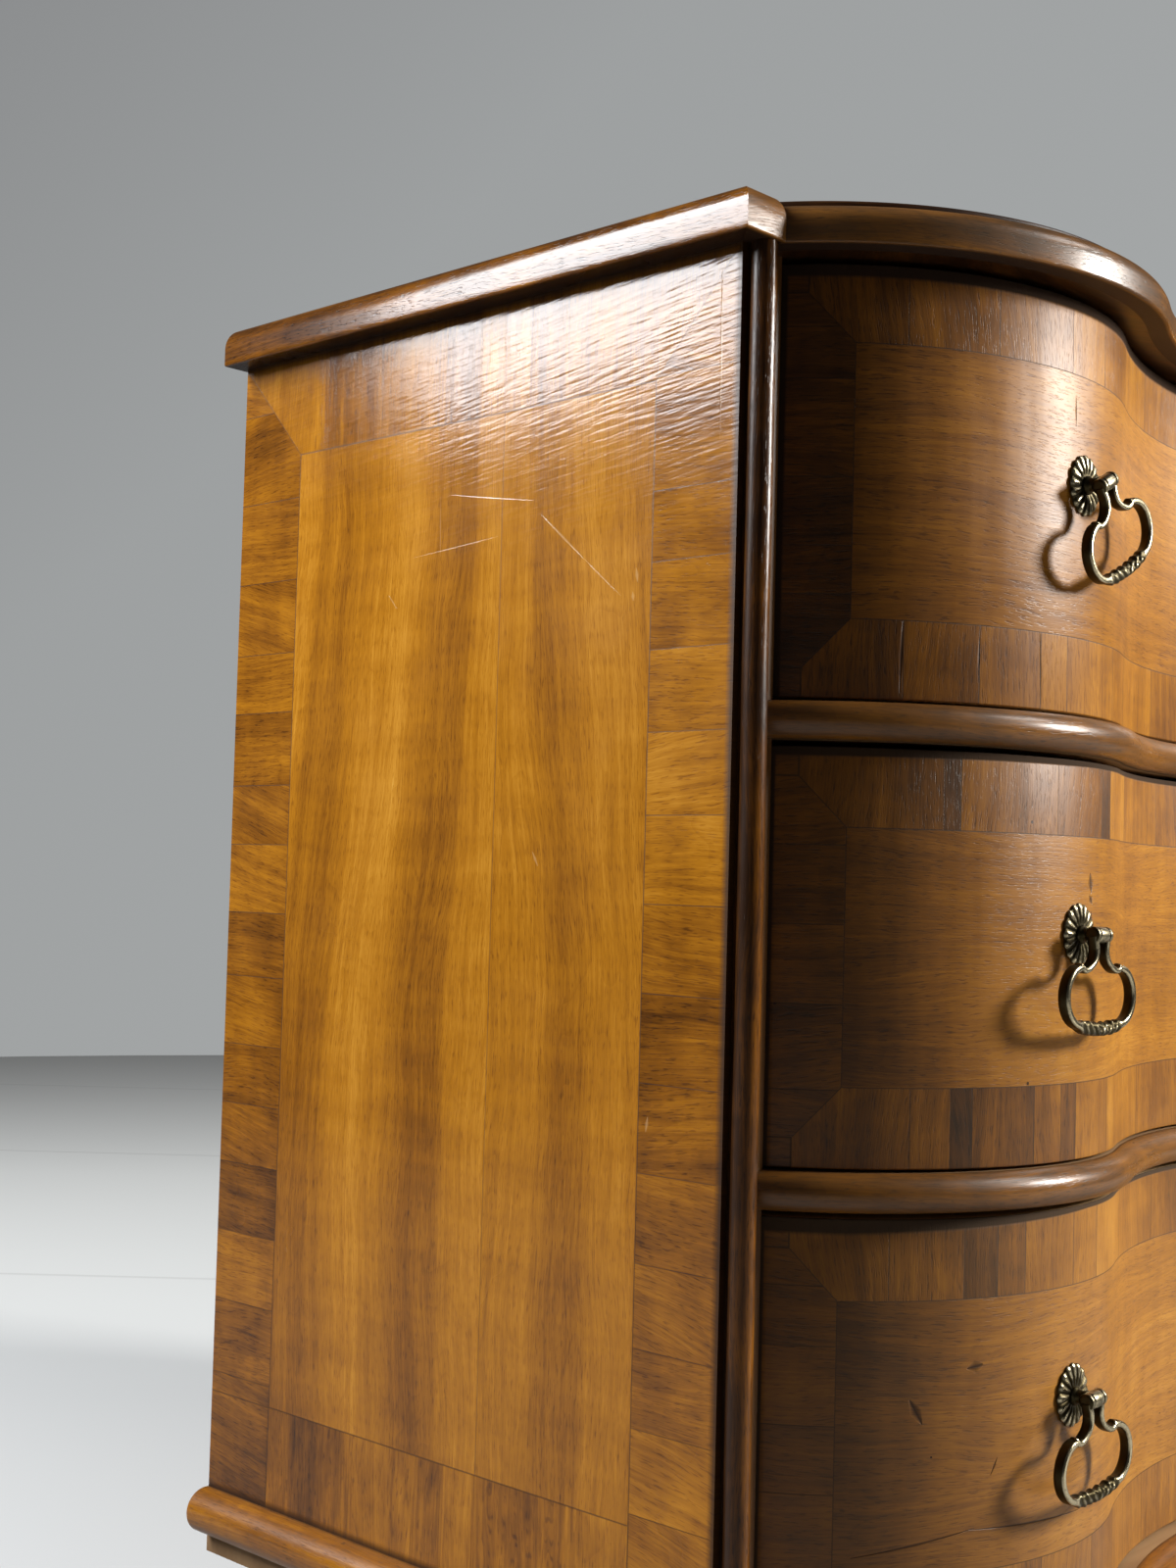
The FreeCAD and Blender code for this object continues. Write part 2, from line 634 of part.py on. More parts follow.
def make_drawer_front(number, z, opening):
    """A bowed front of even thickness, with square shoulders for the sides and two bolt holes."""
    name = "drawer_%s_front" % number
    body = doc.addObject("PartDesign::Body", name)
    sketch = new_sketch(body, "XY_Plane", name + "_plan")
    inner_reach = -size("front_thickness")
    lobe, hollow = half_serpentine(sketch, "0", 0)
    inner_lobe, inner_hollow = half_serpentine(sketch, "-Sizes.front_thickness", inner_reach)
    end = sketch.getPoint(lobe, 2)
    inner_end = sketch.getPoint(inner_lobe, 2)
    shoulder_y = size("front_shoulder")
    centre_line = segment(sketch, sketch.getPoint(hollow, 2), sketch.getPoint(inner_hollow, 2))
    end_line = segment(sketch, end, Vector(end.x, shoulder_y, 0), "Vertical")
    shoulder = segment(sketch, Vector(end.x, shoulder_y, 0), inner_end, "Horizontal")
    join(sketch, centre_line, 1, hollow, 2)
    join(sketch, centre_line, 2, inner_hollow, 2)
    join(sketch, end_line, 1, lobe, 2)
    join(sketch, end_line, 2, shoulder, 1)
    join(sketch, shoulder, 2, inner_lobe, 2)
    put(sketch, end_line, 2, DRAWER_HALF, "Sizes.front_shoulder")
    mirror_in_body(body, pad(body, sketch, "%s - Sizes.drawer_low_gap - Sizes.drawer_top_gap" % opening))
    doc.recompute()
    holes = new_sketch(body, "XZ_Plane", name + "_holes")
    for side in ("", "-"):
        x = lobe_place()
        centre = Vector(-x if side else x, size("handle_height_" + number), 0)
        radius = size("shank_diameter") / 2 + size("shank_gap")
        hole = holes.addGeometry(Part.Circle(centre, Vector(0, 0, 1), radius), False)
        put(holes, hole, 3, side + LOBE_X, "Sizes.handle_height_%s - Sizes.drawer_low_gap" % number)
        drive(holes, Sketcher.Constraint("Radius", hole, radius),
              "Sizes.shank_diameter / 2 + Sizes.shank_gap")
    pocket_through(body, holes, "_bolt_holes")
    place(body, z="%s + Sizes.drawer_low_gap" % z)
    sub_part(body, name)


def make_drawer_box(number, z, opening):
    """Two grooved sides, a back between them and a bottom that slides in the grooves."""
    name = "drawer_%s" % number
    floor = "(%s + Sizes.slide_gap)" % z
    rear = "(Sizes.case_depth - Sizes.back_thickness - Sizes.drawer_rear_gap)"
    length = "(%s - Sizes.front_shoulder)" % rear
    height = "(%s - Sizes.lining_drop)" % opening
    side = box(name + "_side_board", LINING_HALF, "Sizes.front_shoulder", floor,
               "Sizes.lining_thickness", length, height)
    groove = box(name + "_groove", "%s - Sizes.overrun" % LINING_HALF, "Sizes.front_shoulder - Sizes.overrun",
                 "%s + Sizes.bottom_groove_rise" % floor, "Sizes.bottom_groove_depth + Sizes.overrun",
                 "%s + 2 * Sizes.overrun" % length, "Sizes.bottom_thickness + Sizes.joint_gap")
    right = cut(name + "_side_right", side, groove)
    sub_part(right, name + "_side_right")
    sub_part(mirrored(name + "_side_left", right), name + "_side_left")

    bottom_reach = -size("front_thickness") - size("joint_gap")
    bottom = serpentine_board(name + "_bottom", "(-Sizes.front_thickness - Sizes.joint_gap)", bottom_reach,
                              "%s + Sizes.bottom_groove_depth - Sizes.joint_gap" % LINING_HALF, rear,
                              "Sizes.bottom_thickness")
    sub_part(place(bottom, z="%s + Sizes.bottom_groove_rise" % floor), name + "_bottom")

    back_rise = "(Sizes.bottom_groove_rise + Sizes.bottom_thickness + Sizes.joint_gap)"
    back = box(name + "_back", "-%s" % LINING_HALF, "%s - Sizes.drawer_back_thickness" % rear,
               "%s + %s" % (floor, back_rise), "2 * %s" % LINING_HALF, "Sizes.drawer_back_thickness",
               "%s - %s" % (height, back_rise))
    sub_part(back, name + "_back")


# Handles: a fluted plate, a bolt with an eye at its head, a nut inside, and a swinging bail

PLATE_FLUTES = 16
PLATE_NOTCH_SHARE = 0.92


def plate_shape():
    """An upright oval with a scalloped rim and a hole for the bolt, its back at y = 0."""
    half_width = size("plate_width") / 2
    half_height = size("plate_height") / 2

    def rim(step, share):
        angle = math.tau * step / PLATE_FLUTES
        return Vector(share * half_width * math.sin(angle), 0, share * half_height * math.cos(angle))

    edges = []
    for flute in range(PLATE_FLUTES):
        start = rim(flute - 0.5, PLATE_NOTCH_SHARE)
        end = rim(flute + 0.5, PLATE_NOTCH_SHARE)
        edges.append(Part.Arc(start, rim(flute, 1), end).toShape())
    plate = Part.Face(Part.Wire(edges)).extrude(Vector(0, -size("plate_thickness"), 0))
    bore = size("shank_diameter") / 2 + size("shank_gap")
    return plate.cut(Part.makeCylinder(bore, size("plate_thickness"), Vector(0, 0, 0), Vector(0, -1, 0)))


def bail_path():
    """Half of the bail's line: down the arm, out round an elbow, round the lobe and along the bar."""
    arm_x = size("eye_width") / 2 + size("bail_arm_gap") + size("bail_wire") / 2
    elbow = size("bail_elbow_radius")
    lobe = size("bail_lobe_radius")
    drop = size("bail_drop")
    arm_end = Vector(arm_x, 0, -size("bail_arm_drop"))
    elbow_centre = arm_end + Vector(elbow, 0, 0)
    elbow_turn = math.radians(size("bail_elbow_turn"))

    def on_elbow(turn):
        return elbow_centre + Vector(-elbow * math.cos(turn), 0, -elbow * math.sin(turn))

    cusp = on_elbow(elbow_turn)
    towards = (cusp - elbow_centre).normalize()
    lobe_centre = cusp + towards * lobe
    rise = lobe_centre.z + drop
    bar_radius = (lobe_centre.x ** 2 + rise ** 2 - lobe ** 2) / (2 * (rise - lobe))
    bar_centre = Vector(0, 0, bar_radius - drop)
    outwards = (lobe_centre - bar_centre).normalize()
    bar_end = lobe_centre + outwards * lobe
    lowest = Vector(0, 0, -drop)
    bar_turn = math.atan2(bar_end.x, bar_centre.z - bar_end.z) / 2
    bar_middle = bar_centre + Vector(bar_radius * math.sin(bar_turn), 0, -bar_radius * math.cos(bar_turn))
    lobe_side = lobe_centre + Vector(lobe, 0, 0)
    return [
        Part.LineSegment(Vector(arm_x, 0, 0), arm_end).toShape(),
        Part.Arc(arm_end, on_elbow(elbow_turn / 2), cusp).toShape(),
        Part.Arc(cusp, lobe_side, bar_end).toShape(),
        Part.Arc(bar_end, bar_middle, lowest).toShape(),
    ]


def bail_shape():
    """The bail hanging from its pivot at the origin: one bent wire, a thicker bar and two pins."""
    wire_r = size("bail_wire") / 2
    path = bail_path()
    arm_x = path[0].Vertexes[0].X
    ring = Part.Wire([Part.Circle(Vector(arm_x, 0, 0), Vector(0, 0, -1), wire_r).toShape()])
    half = Part.Wire(path).makePipeShell([ring], True, False)
    elbow_ball = Part.makeSphere(wire_r, Vector(arm_x, 0, 0))
    pin_start = size("bail_arm_gap")
    pin = Part.makeCylinder(size("pin_diameter") / 2, arm_x - pin_start, Vector(pin_start, 0, 0),
                            Vector(1, 0, 0))
    bar = Part.makeCylinder(size("bail_bar") / 2, size("bar_half_length"), Vector(0, 0, -size("bail_drop")),
                            Vector(1, 0, 0))
    half = half.fuse([elbow_ball, pin, bar])
    other = half.mirror(Vector(0, 0, 0), Vector(1, 0, 0))
    return half.fuse(other).removeSplitter()


def turned_on_bolt(item, side, number, reach):
    """Place a handle piece on the crest of a lobe, turned with its bolt."""
    tilt = size("tilt_%s_%s" % (side, number))
    item.Placement = FreeCAD.Placement(Vector(0, 0, 0), FreeCAD.Rotation(Vector(0, -1, 0), tilt))
    z, _ = DRAWERS[number]
    x = LOBE_X if side == "right" else "-" + LOBE_X
    place(item, x, "%s - %s" % (CREST_Y, reach), "%s + Sizes.handle_height_%s" % (z, number))


def make_bolt(side, number):
    """The bolt's eye carries the bail. Its shank passes the plate and the drawer front to the nut."""
    name = "bolt_%s_%s" % (side, number)
    depth = "(Sizes.front_thickness + Sizes.nut_thickness + Sizes.plate_thickness)"
    shapes = []

    def turned(label, radius, start, length):
        rod = doc.addObject("Part::Cylinder", name + label)
        rod.setExpression("Radius", radius)
        rod.setExpression("Height", length)
        rod.Placement = FreeCAD.Placement(Vector(0, 0, 0), FreeCAD.Rotation(Vector(1, 0, 0), -90))
        rod.setExpression("Placement.Base.y", start)
        shapes.append(rod)

    turned("_shank", "Sizes.shank_diameter / 2", "-Sizes.plate_thickness", depth + " + Sizes.plate_thickness")
    turned("_post", "Sizes.post_diameter / 2", "-Sizes.pivot_reach",
           "Sizes.pivot_reach - Sizes.plate_thickness")
    turned("_collar", "Sizes.collar_diameter / 2", "-2 * Sizes.plate_thickness", "Sizes.plate_thickness")
    eye = doc.addObject("Part::Cylinder", name + "_eye")
    eye.setExpression("Radius", "Sizes.eye_diameter / 2")
    eye.setExpression("Height", "Sizes.eye_width")
    eye.Placement = FreeCAD.Placement(Vector(0, 0, 0), FreeCAD.Rotation(Vector(0, 1, 0), 90))
    eye.setExpression("Placement.Base.x", "-Sizes.eye_width / 2")
    eye.setExpression("Placement.Base.y", "-Sizes.pivot_reach")
    shapes.append(eye)
    solid = fuse(name + "_solid", shapes)
    bore = doc.addObject("Part::Cylinder", name + "_bore")
    bore.setExpression("Radius", "Sizes.pin_diameter / 2 + Sizes.pin_gap")
    bore.setExpression("Height", "Sizes.eye_width")
    bore.Placement = eye.Placement
    bore.setExpression("Placement.Base.x", "-Sizes.eye_width / 2")
    bore.setExpression("Placement.Base.y", "-Sizes.pivot_reach")
    bolt = cut(name, solid, bore)
    turned_on_bolt(bolt, side, number, "0")
    return bolt


def make_nut(side, number):
    """A square nut against the inner face of the drawer front."""
    name = "nut_%s_%s" % (side, number)
    block = doc.addObject("Part::Box", name + "_block")
    block.setExpression("Length", "Sizes.nut_width")
    block.setExpression("Width", "Sizes.nut_thickness")
    block.setExpression("Height", "Sizes.nut_width")
    block.setExpression("Placement.Base.x", "-Sizes.nut_width / 2")
    block.setExpression("Placement.Base.z", "-Sizes.nut_width / 2")
    bore = doc.addObject("Part::Cylinder", name + "_bore")
    bore.setExpression("Radius", "Sizes.shank_diameter / 2 + Sizes.shank_gap / 2")
    bore.setExpression("Height", "Sizes.nut_thickness")
    bore.Placement = FreeCAD.Placement(Vector(0, 0, 0), FreeCAD.Rotation(Vector(1, 0, 0), -90))
    nut = cut(name, block, bore)
    turned_on_bolt(nut, side, number, "(-Sizes.front_thickness - Sizes.joint_gap)")
    return nut


def make_plate(side, number):
    plate = doc.addObject("Part::Feature", "plate_%s_%s" % (side, number))
    plate.Shape = plate_shape()
    z, _ = DRAWERS[number]
    x = LOBE_X if side == "right" else "-" + LOBE_X
    return place(plate, x, CREST_Y, "%s + Sizes.handle_height_%s" % (z, number))


def make_handles(number):
    plates = [make_plate(side, number) for side in ("left", "right")]
    sub_part(group("handle_plates_" + number, plates), "handle_plates_" + number)
    bolts = [make_bolt(side, number) for side in ("left", "right")]
    nuts = [make_nut(side, number) for side in ("left", "right")]
    sub_part(group("handle_bolts_" + number, bolts + nuts), "handle_bolts_" + number)
    for side in ("left", "right"):
        bail = doc.addObject("Part::Feature", "bail_%s_%s" % (number, side))
        bail.Shape = bail_shape()
        turned_on_bolt(bail, side, number, "Sizes.pivot_reach")
        sub_part(bail, "bail_%s_%s" % (number, side))


make_top()
make_base()
make_battens()
make_feet()
make_sides()
make_beads()
make_dividers()
make_back()
for drawer, (drawer_z, drawer_opening) in DRAWERS.items():
    make_drawer_front(drawer, drawer_z, drawer_opening)
    make_drawer_box(drawer, drawer_z, drawer_opening)
    make_handles(drawer)

doc.recompute()

# Check every object, then write one file for each sub-part

for item in doc.Objects:
    if "Invalid" in item.State or "Error" in item.State:
        raise RuntimeError("%s did not recompute: %s" % (item.Name, item.State))
for item in parts:
    if item.Shape.isNull() or not item.Shape.isValid():
        raise RuntimeError("%s has no valid shape" % item.Label)

os.makedirs("parts", exist_ok=True)
for item in parts:
    item.Shape.exportStep(os.path.join("parts", item.Label + ".step"))
print("%d sub-parts" % len(parts))
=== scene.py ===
import json
import math

import bpy
import numpy as np
from mathutils import Matrix, Vector


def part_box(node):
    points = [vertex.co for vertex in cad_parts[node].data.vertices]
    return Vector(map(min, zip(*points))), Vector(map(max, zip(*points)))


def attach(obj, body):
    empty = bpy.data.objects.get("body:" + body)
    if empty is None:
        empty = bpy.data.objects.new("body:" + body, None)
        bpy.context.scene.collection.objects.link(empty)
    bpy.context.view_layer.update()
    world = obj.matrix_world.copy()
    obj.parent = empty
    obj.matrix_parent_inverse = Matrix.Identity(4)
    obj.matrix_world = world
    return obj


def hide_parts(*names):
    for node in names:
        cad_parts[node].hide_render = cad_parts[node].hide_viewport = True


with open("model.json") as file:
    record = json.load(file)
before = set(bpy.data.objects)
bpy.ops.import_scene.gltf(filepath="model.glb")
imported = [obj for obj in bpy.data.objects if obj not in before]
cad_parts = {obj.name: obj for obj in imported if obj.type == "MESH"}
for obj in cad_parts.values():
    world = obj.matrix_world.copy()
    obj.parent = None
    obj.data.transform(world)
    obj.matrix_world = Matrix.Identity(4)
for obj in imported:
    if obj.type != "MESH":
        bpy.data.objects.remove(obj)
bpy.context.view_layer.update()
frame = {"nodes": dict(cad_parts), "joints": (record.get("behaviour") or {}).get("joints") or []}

# Camera and lamps.
# The camera stands at the front left of the chest, a little below its top, with a normal lens. A tall window behind the
# left side lights the panel. A smaller one before the right half lights the drawers, with a higher one above it.

scene = bpy.context.scene
scene.view_settings.view_transform = "Standard"

VIEW_FROM = (-1.07171, -0.71404, 0.45601)
VIEW_ACROSS = Vector((0.68611, -0.72702, 0.02628))
VIEW_INTO = Vector((0.72549, 0.68646, 0.04939))
camera = bpy.data.objects.new("camera", bpy.data.cameras.new("camera"))
camera.data.lens = 45
turned = Matrix((VIEW_ACROSS, VIEW_ACROSS.cross(VIEW_INTO), -VIEW_INTO)).transposed()
camera.matrix_world = Matrix.Translation(VIEW_FROM) @ turned.to_4x4()
scene.collection.objects.link(camera)
scene.camera = camera


def lamp(name, place, target, width, height, watts, colour, roll=0.0):
    """A rectangular soft lamp that stands at a place, looks at a target and is rolled about its axis."""
    light = bpy.data.objects.new(name, bpy.data.lights.new(name, "AREA"))
    light.data.shape = "RECTANGLE"
    light.data.size, light.data.size_y = width, height
    light.data.energy = watts
    light.data.color = colour
    light.location = place
    facing = (Vector(target) - Vector(place)).to_track_quat("-Z", "Y").to_matrix()
    light.rotation_euler = (facing @ Matrix.Rotation(math.radians(roll), 3, "Z")).to_euler()
    scene.collection.objects.link(light)


lamp("side_window", (-1.70, 1.32, 1.98), (-0.37, 0.0, 0.9), 0.8, 1.6, 110, (0.975, 0.98, 1.0), roll=14)
lamp("front_window", (1.40, -1.80, 1.30), (-0.19, -0.22, 0.5), 0.40, 0.50, 83, (1.0, 0.97, 0.92))
lamp("high_window", (1.5, -1.85, 2.75), (-0.1, -0.2, 0.4), 1.1, 0.7, 28, (1.0, 0.97, 0.93))


class Value:
    """What a node puts out. Arithmetic on it, and comparison, adds a math node to its tree."""

    def __init__(self, bench, socket):
        self.bench, self.socket = bench, socket

    def __add__(self, other):
        return self.bench.math("ADD", self, other)

    def __sub__(self, other):
        return self.bench.math("SUBTRACT", self, other)

    def __rsub__(self, other):
        return self.bench.math("SUBTRACT", other, self)

    def __mul__(self, other):
        return self.bench.math("MULTIPLY", self, other)

    def __truediv__(self, other):
        return self.bench.math("DIVIDE", self, other)

    def __gt__(self, other):
        return self.bench.math("GREATER_THAN", self, other)

    def __lt__(self, other):
        return self.bench.math("LESS_THAN", self, other)

    def __abs__(self):
        return self.bench.math("ABSOLUTE", self)

    __radd__ = __add__


class Bench:
    """Adds nodes to one node tree, with one short call for each."""

    def __init__(self, tree):
        self.tree = tree

    def feed(self, socket, value):
        if isinstance(value, Value):
            self.tree.links.new(value.socket, socket)
        else:
            socket.default_value = value

    def add(self, kind, inputs=(), **settings):
        node = self.tree.nodes.new(kind)
        for name, value in settings.items():
            setattr(node, name, value)
        for name, value in dict(inputs).items():
            self.feed(node.inputs[name], value)
        return node

    def out(self, kind, output=0, inputs=(), **settings):
        """Adds a node and gives one of its outputs."""
        return Value(self, self.add(kind, inputs, **settings).outputs[output])

    def math(self, operation, *values, clamp=False):
        return self.out("ShaderNodeMath", 0, enumerate(values), operation=operation, use_clamp=clamp)

    def least(self, first, *others):
        for other in others:
            first = self.math("MINIMUM", first, other)
        return first

    def most(self, first, *others):
        for other in others:
            first = self.math("MAXIMUM", first, other)
        return first

    def vector(self, x, y, z=0.0):
        return self.out("ShaderNodeCombineXYZ", 0, {"X": x, "Y": y, "Z": z})

    def split(self, vector):
        return [Value(self, part) for part in self.add("ShaderNodeSeparateXYZ", {"Vector": vector}).outputs]

    def noise(self, vector, scale=1.0, detail=2.0, roughness=0.5):
        settings = {"Vector": vector, "Scale": scale, "Detail": detail, "Roughness": roughness}
        return self.out("ShaderNodeTexNoise", 0, settings)

    def between(self, value, low, high, start=0.0, end=1.0, soft=False):
        """start at low and below, end at high and above, and straight or soft in between."""
        limits = {"Value": value, "From Min": low, "From Max": high, "To Min": start, "To Max": end}
        return self.out("ShaderNodeMapRange", 0, limits, interpolation_type="SMOOTHSTEP" if soft else "LINEAR")

    def line(self, distance, full, none, strength=1.0):
        """A line where a distance is nought: at its strength as far as full to each side, and gone at none."""
        return self.between(abs(distance), full, none, strength, 0.0)

    def blend(self, share, first, second):
        """The first colour where share is 0 and the second where it is 1."""
        return self.out("ShaderNodeMix", 2, {0: share, 6: first, 7: second}, data_type="RGBA")

    def choose(self, share, first, second):
        """The first number where share is 0 and the second where it is 1."""
        return self.out("ShaderNodeMix", 0, {0: share, 2: first, 3: second}, data_type="FLOAT")

    def ramp(self, share, stops, flat=False):
        """Colours or greys at shares of the way, in steps when flat."""
        node = self.add("ShaderNodeValToRGB", {"Fac": share})
        node.color_ramp.interpolation = "CONSTANT" if flat else "LINEAR"
        elements = node.color_ramp.elements
        while len(elements) < len(stops):
            elements.new(0.5)
        for element, (place, value) in zip(elements, stops):
            element.position = place
            element.color = (value, value, value, 1) if isinstance(value, (int, float)) else (*value, 1)
        return Value(self, node.outputs[0])

    def group(self, tree, **inputs):
        node = self.add("ShaderNodeGroup", inputs, node_tree=tree)
        return {output.name: Value(self, output) for output in node.outputs}

    def place(self):
        return self.out("ShaderNodeTexCoord", "Object")

    def run(self):
        """The distance along a piece and the distance round it."""
        return self.split(self.out("ShaderNodeUVMap", uv_map="run"))[:2]

    def wear(self):
        return self.out("ShaderNodeAttribute", "Fac", attribute_name="wear")


world = bpy.data.worlds.new("studio")
scene.world = world
world.use_nodes = True
world.node_tree.nodes.clear()
bench = Bench(world.node_tree)
x, y, z = bench.split(bench.out("ShaderNodeTexCoord", "Generated"))
wall_colour = bench.ramp(x * 0.62 - y * 0.65 + 0.75 - z * 0.9, [
    (0.0, (0.22, 0.224, 0.23)), (0.4, (0.34, 0.352, 0.355)), (0.8, (0.375, 0.388, 0.39))])
ambient = bench.out("ShaderNodeBackground", 0, {"Color": (0.92, 0.95, 1.0, 1), "Strength": 0.035})
wall = bench.out("ShaderNodeBackground", 0, {"Color": wall_colour, "Strength": 1.0})
seen = bench.out("ShaderNodeLightPath", "Is Camera Ray")
bench.add("ShaderNodeOutputWorld", {"Surface": bench.out("ShaderNodeMixShader", 0, {0: seen, 1: ambient, 2: wall})})


# Studio floor: pale painted boards. Painted shade and light: the paint is darkest a little behind the chest and paler
# nearer the camera and farther towards the wall.
# It is a stage for the chest and no part of it.

FLOOR_RADIUS, FLOOR_SIDES, FLOOR_DROP = 3.8, 96, 0.0003
BOARDS_TO_A_METRE = 1.05


def new_material(name):
    material = bpy.data.materials.new(name)
    material.use_nodes = True
    material.node_tree.nodes.clear()
    return material, Bench(material.node_tree)


floor_material, bench = new_material("painted_floor")
x, y, _ = bench.split(bench.place())
to_wall = x * 0.725 + y * 0.688
# Painted shade and light: the floor's colour changes with the distance towards the wall, darkest a little behind the
# chest.
paint = bench.ramp(bench.between(to_wall, -0.8, FLOOR_RADIUS), [
    (0.0, (0.70, 0.72, 0.715)), (0.17, (0.675, 0.695, 0.695)), (0.30, (0.62, 0.64, 0.64)), (0.54, (0.84, 0.865, 0.855)),
    (1.0, (0.86, 0.88, 0.87))])
board = abs(bench.math("FRACT", to_wall * BOARDS_TO_A_METRE) - 0.5)
paint = bench.blend(bench.between(board, 0.493, 0.498) * 0.25, paint, (0.3, 0.3, 0.29, 1))
mirrored = bench.out("ShaderNodeLightPath", "Is Glossy Ray")
looked_at = bench.most(bench.out("ShaderNodeLightPath", "Is Camera Ray"), mirrored * 0.35)
paint = bench.blend(looked_at, (0.17, 0.165, 0.16, 1), paint)
bench.add("ShaderNodeOutputMaterial", {
    "Surface": bench.out("ShaderNodeBsdfPrincipled", 0, {"Base Color": paint, "Roughness": 0.6})})

floor_mesh = bpy.data.meshes.new("studio_floor")
turn = np.linspace(0, math.tau, FLOOR_SIDES, endpoint=False)
rim = np.stack([FLOOR_RADIUS * np.cos(turn), FLOOR_RADIUS * np.sin(turn), np.full(FLOOR_SIDES, -FLOOR_DROP)], axis=1)
floor_mesh.from_pydata(rim.tolist(), [], [list(range(FLOOR_SIDES))])
floor_mesh.materials.append(floor_material)
floor = bpy.data.objects.new("studio_floor", floor_mesh)
scene.collection.objects.link(floor)


# Walnut: the veneers, mouldings and turnings share one grain and one old polish.
# The grain runs in streaks and waves along the wood, with fine fibres and short dark pores.

def new_group(name, inputs, outputs):
    """An empty node group: its tree, its bench, its inputs as values, and the sockets of its outputs."""
    tree = bpy.data.node_groups.new(name, "ShaderNodeTree")
    for label in inputs:
        tree.interface.new_socket(name=label, in_out="INPUT", socket_type="NodeSocketFloat")
    for label in outputs:
        kind = "NodeSocketColor" if label == "Color" else "NodeSocketFloat"
        tree.interface.new_socket(name=label, in_out="OUTPUT", socket_type=kind)
    bench = Bench(tree)
    given = {label: Value(bench, socket) for label, socket in zip(inputs, bench.add("NodeGroupInput").outputs)}
    return tree, bench, given, bench.add("NodeGroupOutput").inputs


WALNUT_TONES = [(0.0, (0.026, 0.009, 0.002)), (0.22, (0.100, 0.034, 0.004)), (0.45, (0.24, 0.085, 0.006)),
                (0.68, (0.42, 0.165, 0.009)), (0.88, (0.58, 0.26, 0.025)), (1.0, (0.70, 0.38, 0.07))]
JOINT_COLOUR = (0.020, 0.008, 0.003, 1)

walnut, bench, given, result = new_group(
    "walnut_wood", ("Along", "Across", "Leaf", "Lean", "Tone", "Contrast", "Smudge", "Line"),
    ("Color", "Roughness", "Height"))
along = given["Along"]
across = given["Across"] + along * given["Lean"]
leaf_step = given["Leaf"] * 37.0


def grain(along_rate, across_rate, detail=2.0, roughness=0.5):
    """Noise stretched along the wood: so many waves to a metre along it and so many across it."""
    place = bench.vector(along * along_rate, across * across_rate, leaf_step)
    return bench.noise(place, detail=detail, roughness=roughness)


wander = grain(5.0, 11.0)
across = across + (wander - 0.5) * 0.03
fine_streak = grain(7.0, 230.0, 3.0, 0.6)
fibre = grain(40.0, 900.0, 2.0, 0.7)
ring = bench.math("FRACT", grain(3.4, 17.0) * 26.0)
pore = bench.between(grain(150.0, 1500.0, 1.0), 0.585, 0.68)
tone = given["Tone"]
for layer, amount in ((grain(1.8, 46.0, 4.0, 0.64), given["Contrast"] * 1.25), (fine_streak, 0.36), (fibre, 0.36),
                      (grain(60.0, 14.0), 0.22), (grain(17.0, 26.0, 3.0, 0.6), given["Smudge"])):
    tone = tone + (layer - 0.5) * amount
tone = tone - pore * 0.16 - bench.between(ring, 0.0, 0.22, 1.0, 0.0) * 0.05
bench.feed(result["Color"], bench.blend(given["Line"], bench.ramp(tone, WALNUT_TONES), JOINT_COLOUR))
handled = bench.noise(bench.vector(along * 9.0, across * 9.0, given["Leaf"]), detail=3.0, roughness=0.6)
bench.feed(result["Roughness"], bench.between(handled, 0.3, 0.7, 0.13, 0.24) + given["Line"] * 0.25)
bench.feed(result["Height"], fibre * 0.45 + handled * 0.3 - pore * 0.3 + fine_streak * 0.4 - given["Line"] * 0.2)


def polish(bench, colour, roughness, height, depth=0.00012, shine=0.36, coat=0.0, coat_roughness=0.1):
    """Finishes a material: wood of that colour under an old shellac polish, with its surface raised by height."""
    bump = bench.out("ShaderNodeBump", 0, {"Height": height, "Strength": 1.0, "Distance": depth})
    bench.add("ShaderNodeOutputMaterial", {"Surface": bench.out("ShaderNodeBsdfPrincipled", 0, {
        "Base Color": colour, "Roughness": roughness, "Normal": bump, "Specular IOR Level": shine,
        "Coat Weight": coat, "Coat Roughness": coat_roughness})})


def moulding_finish(name, tone, worn_tone, coat=0.0, shine=0.36, rubbed_down=1.0, bloom=0.0):
    """Solid walnut with its grain along the piece. Where the wear attribute rises to 1 it is rubbed lighter and
    polished, and where it falls to -1 it is painted dark for painted shade, under the piece and at its back. Bloom is
    the share of a dull olive film in the polish."""
    material, bench = new_material(name)
    along, across = bench.run()
    wear = bench.wear()
    patchy = bench.noise(bench.vector(along * 14.0, across * 60.0), detail=3.0)
    nicks = bench.noise(bench.vector(along * 90.0, across * 160.0))
    worn = bench.math("MULTIPLY", wear, bench.between(patchy, 0.32, 0.62), clamp=True)
    # Painted shade: where the wear falls below nought, under the piece and at its back, the colour is darkened towards
    # the joint colour and the bloom is left out.
    underside_painted_shade = bench.between(wear, -1.0, 0.0, 1.0, 0.0)
    shade = tone + (patchy - 0.5) * 0.25 + worn * (worn_tone - tone)
    wood = bench.group(walnut, Along=along, Across=across, Leaf=0.7, Tone=shade, Smudge=0.25, Contrast=0.3,
                       Line=bench.most(bench.between(nicks, 0.71, 0.76) * 0.6, underside_painted_shade * 0.95))
    dull = (1.0 - worn) * 0.16 + wood["Roughness"]
    colour = bench.blend((1.0 - underside_painted_shade) * bloom, wood["Color"], (0.30, 0.205, 0.10, 1))
    polish(bench, colour, dull * rubbed_down, wood["Height"], shine=shine, coat=bench.between(wear, 0.0, 0.3) * coat,
           coat_roughness=0.14)
    return material


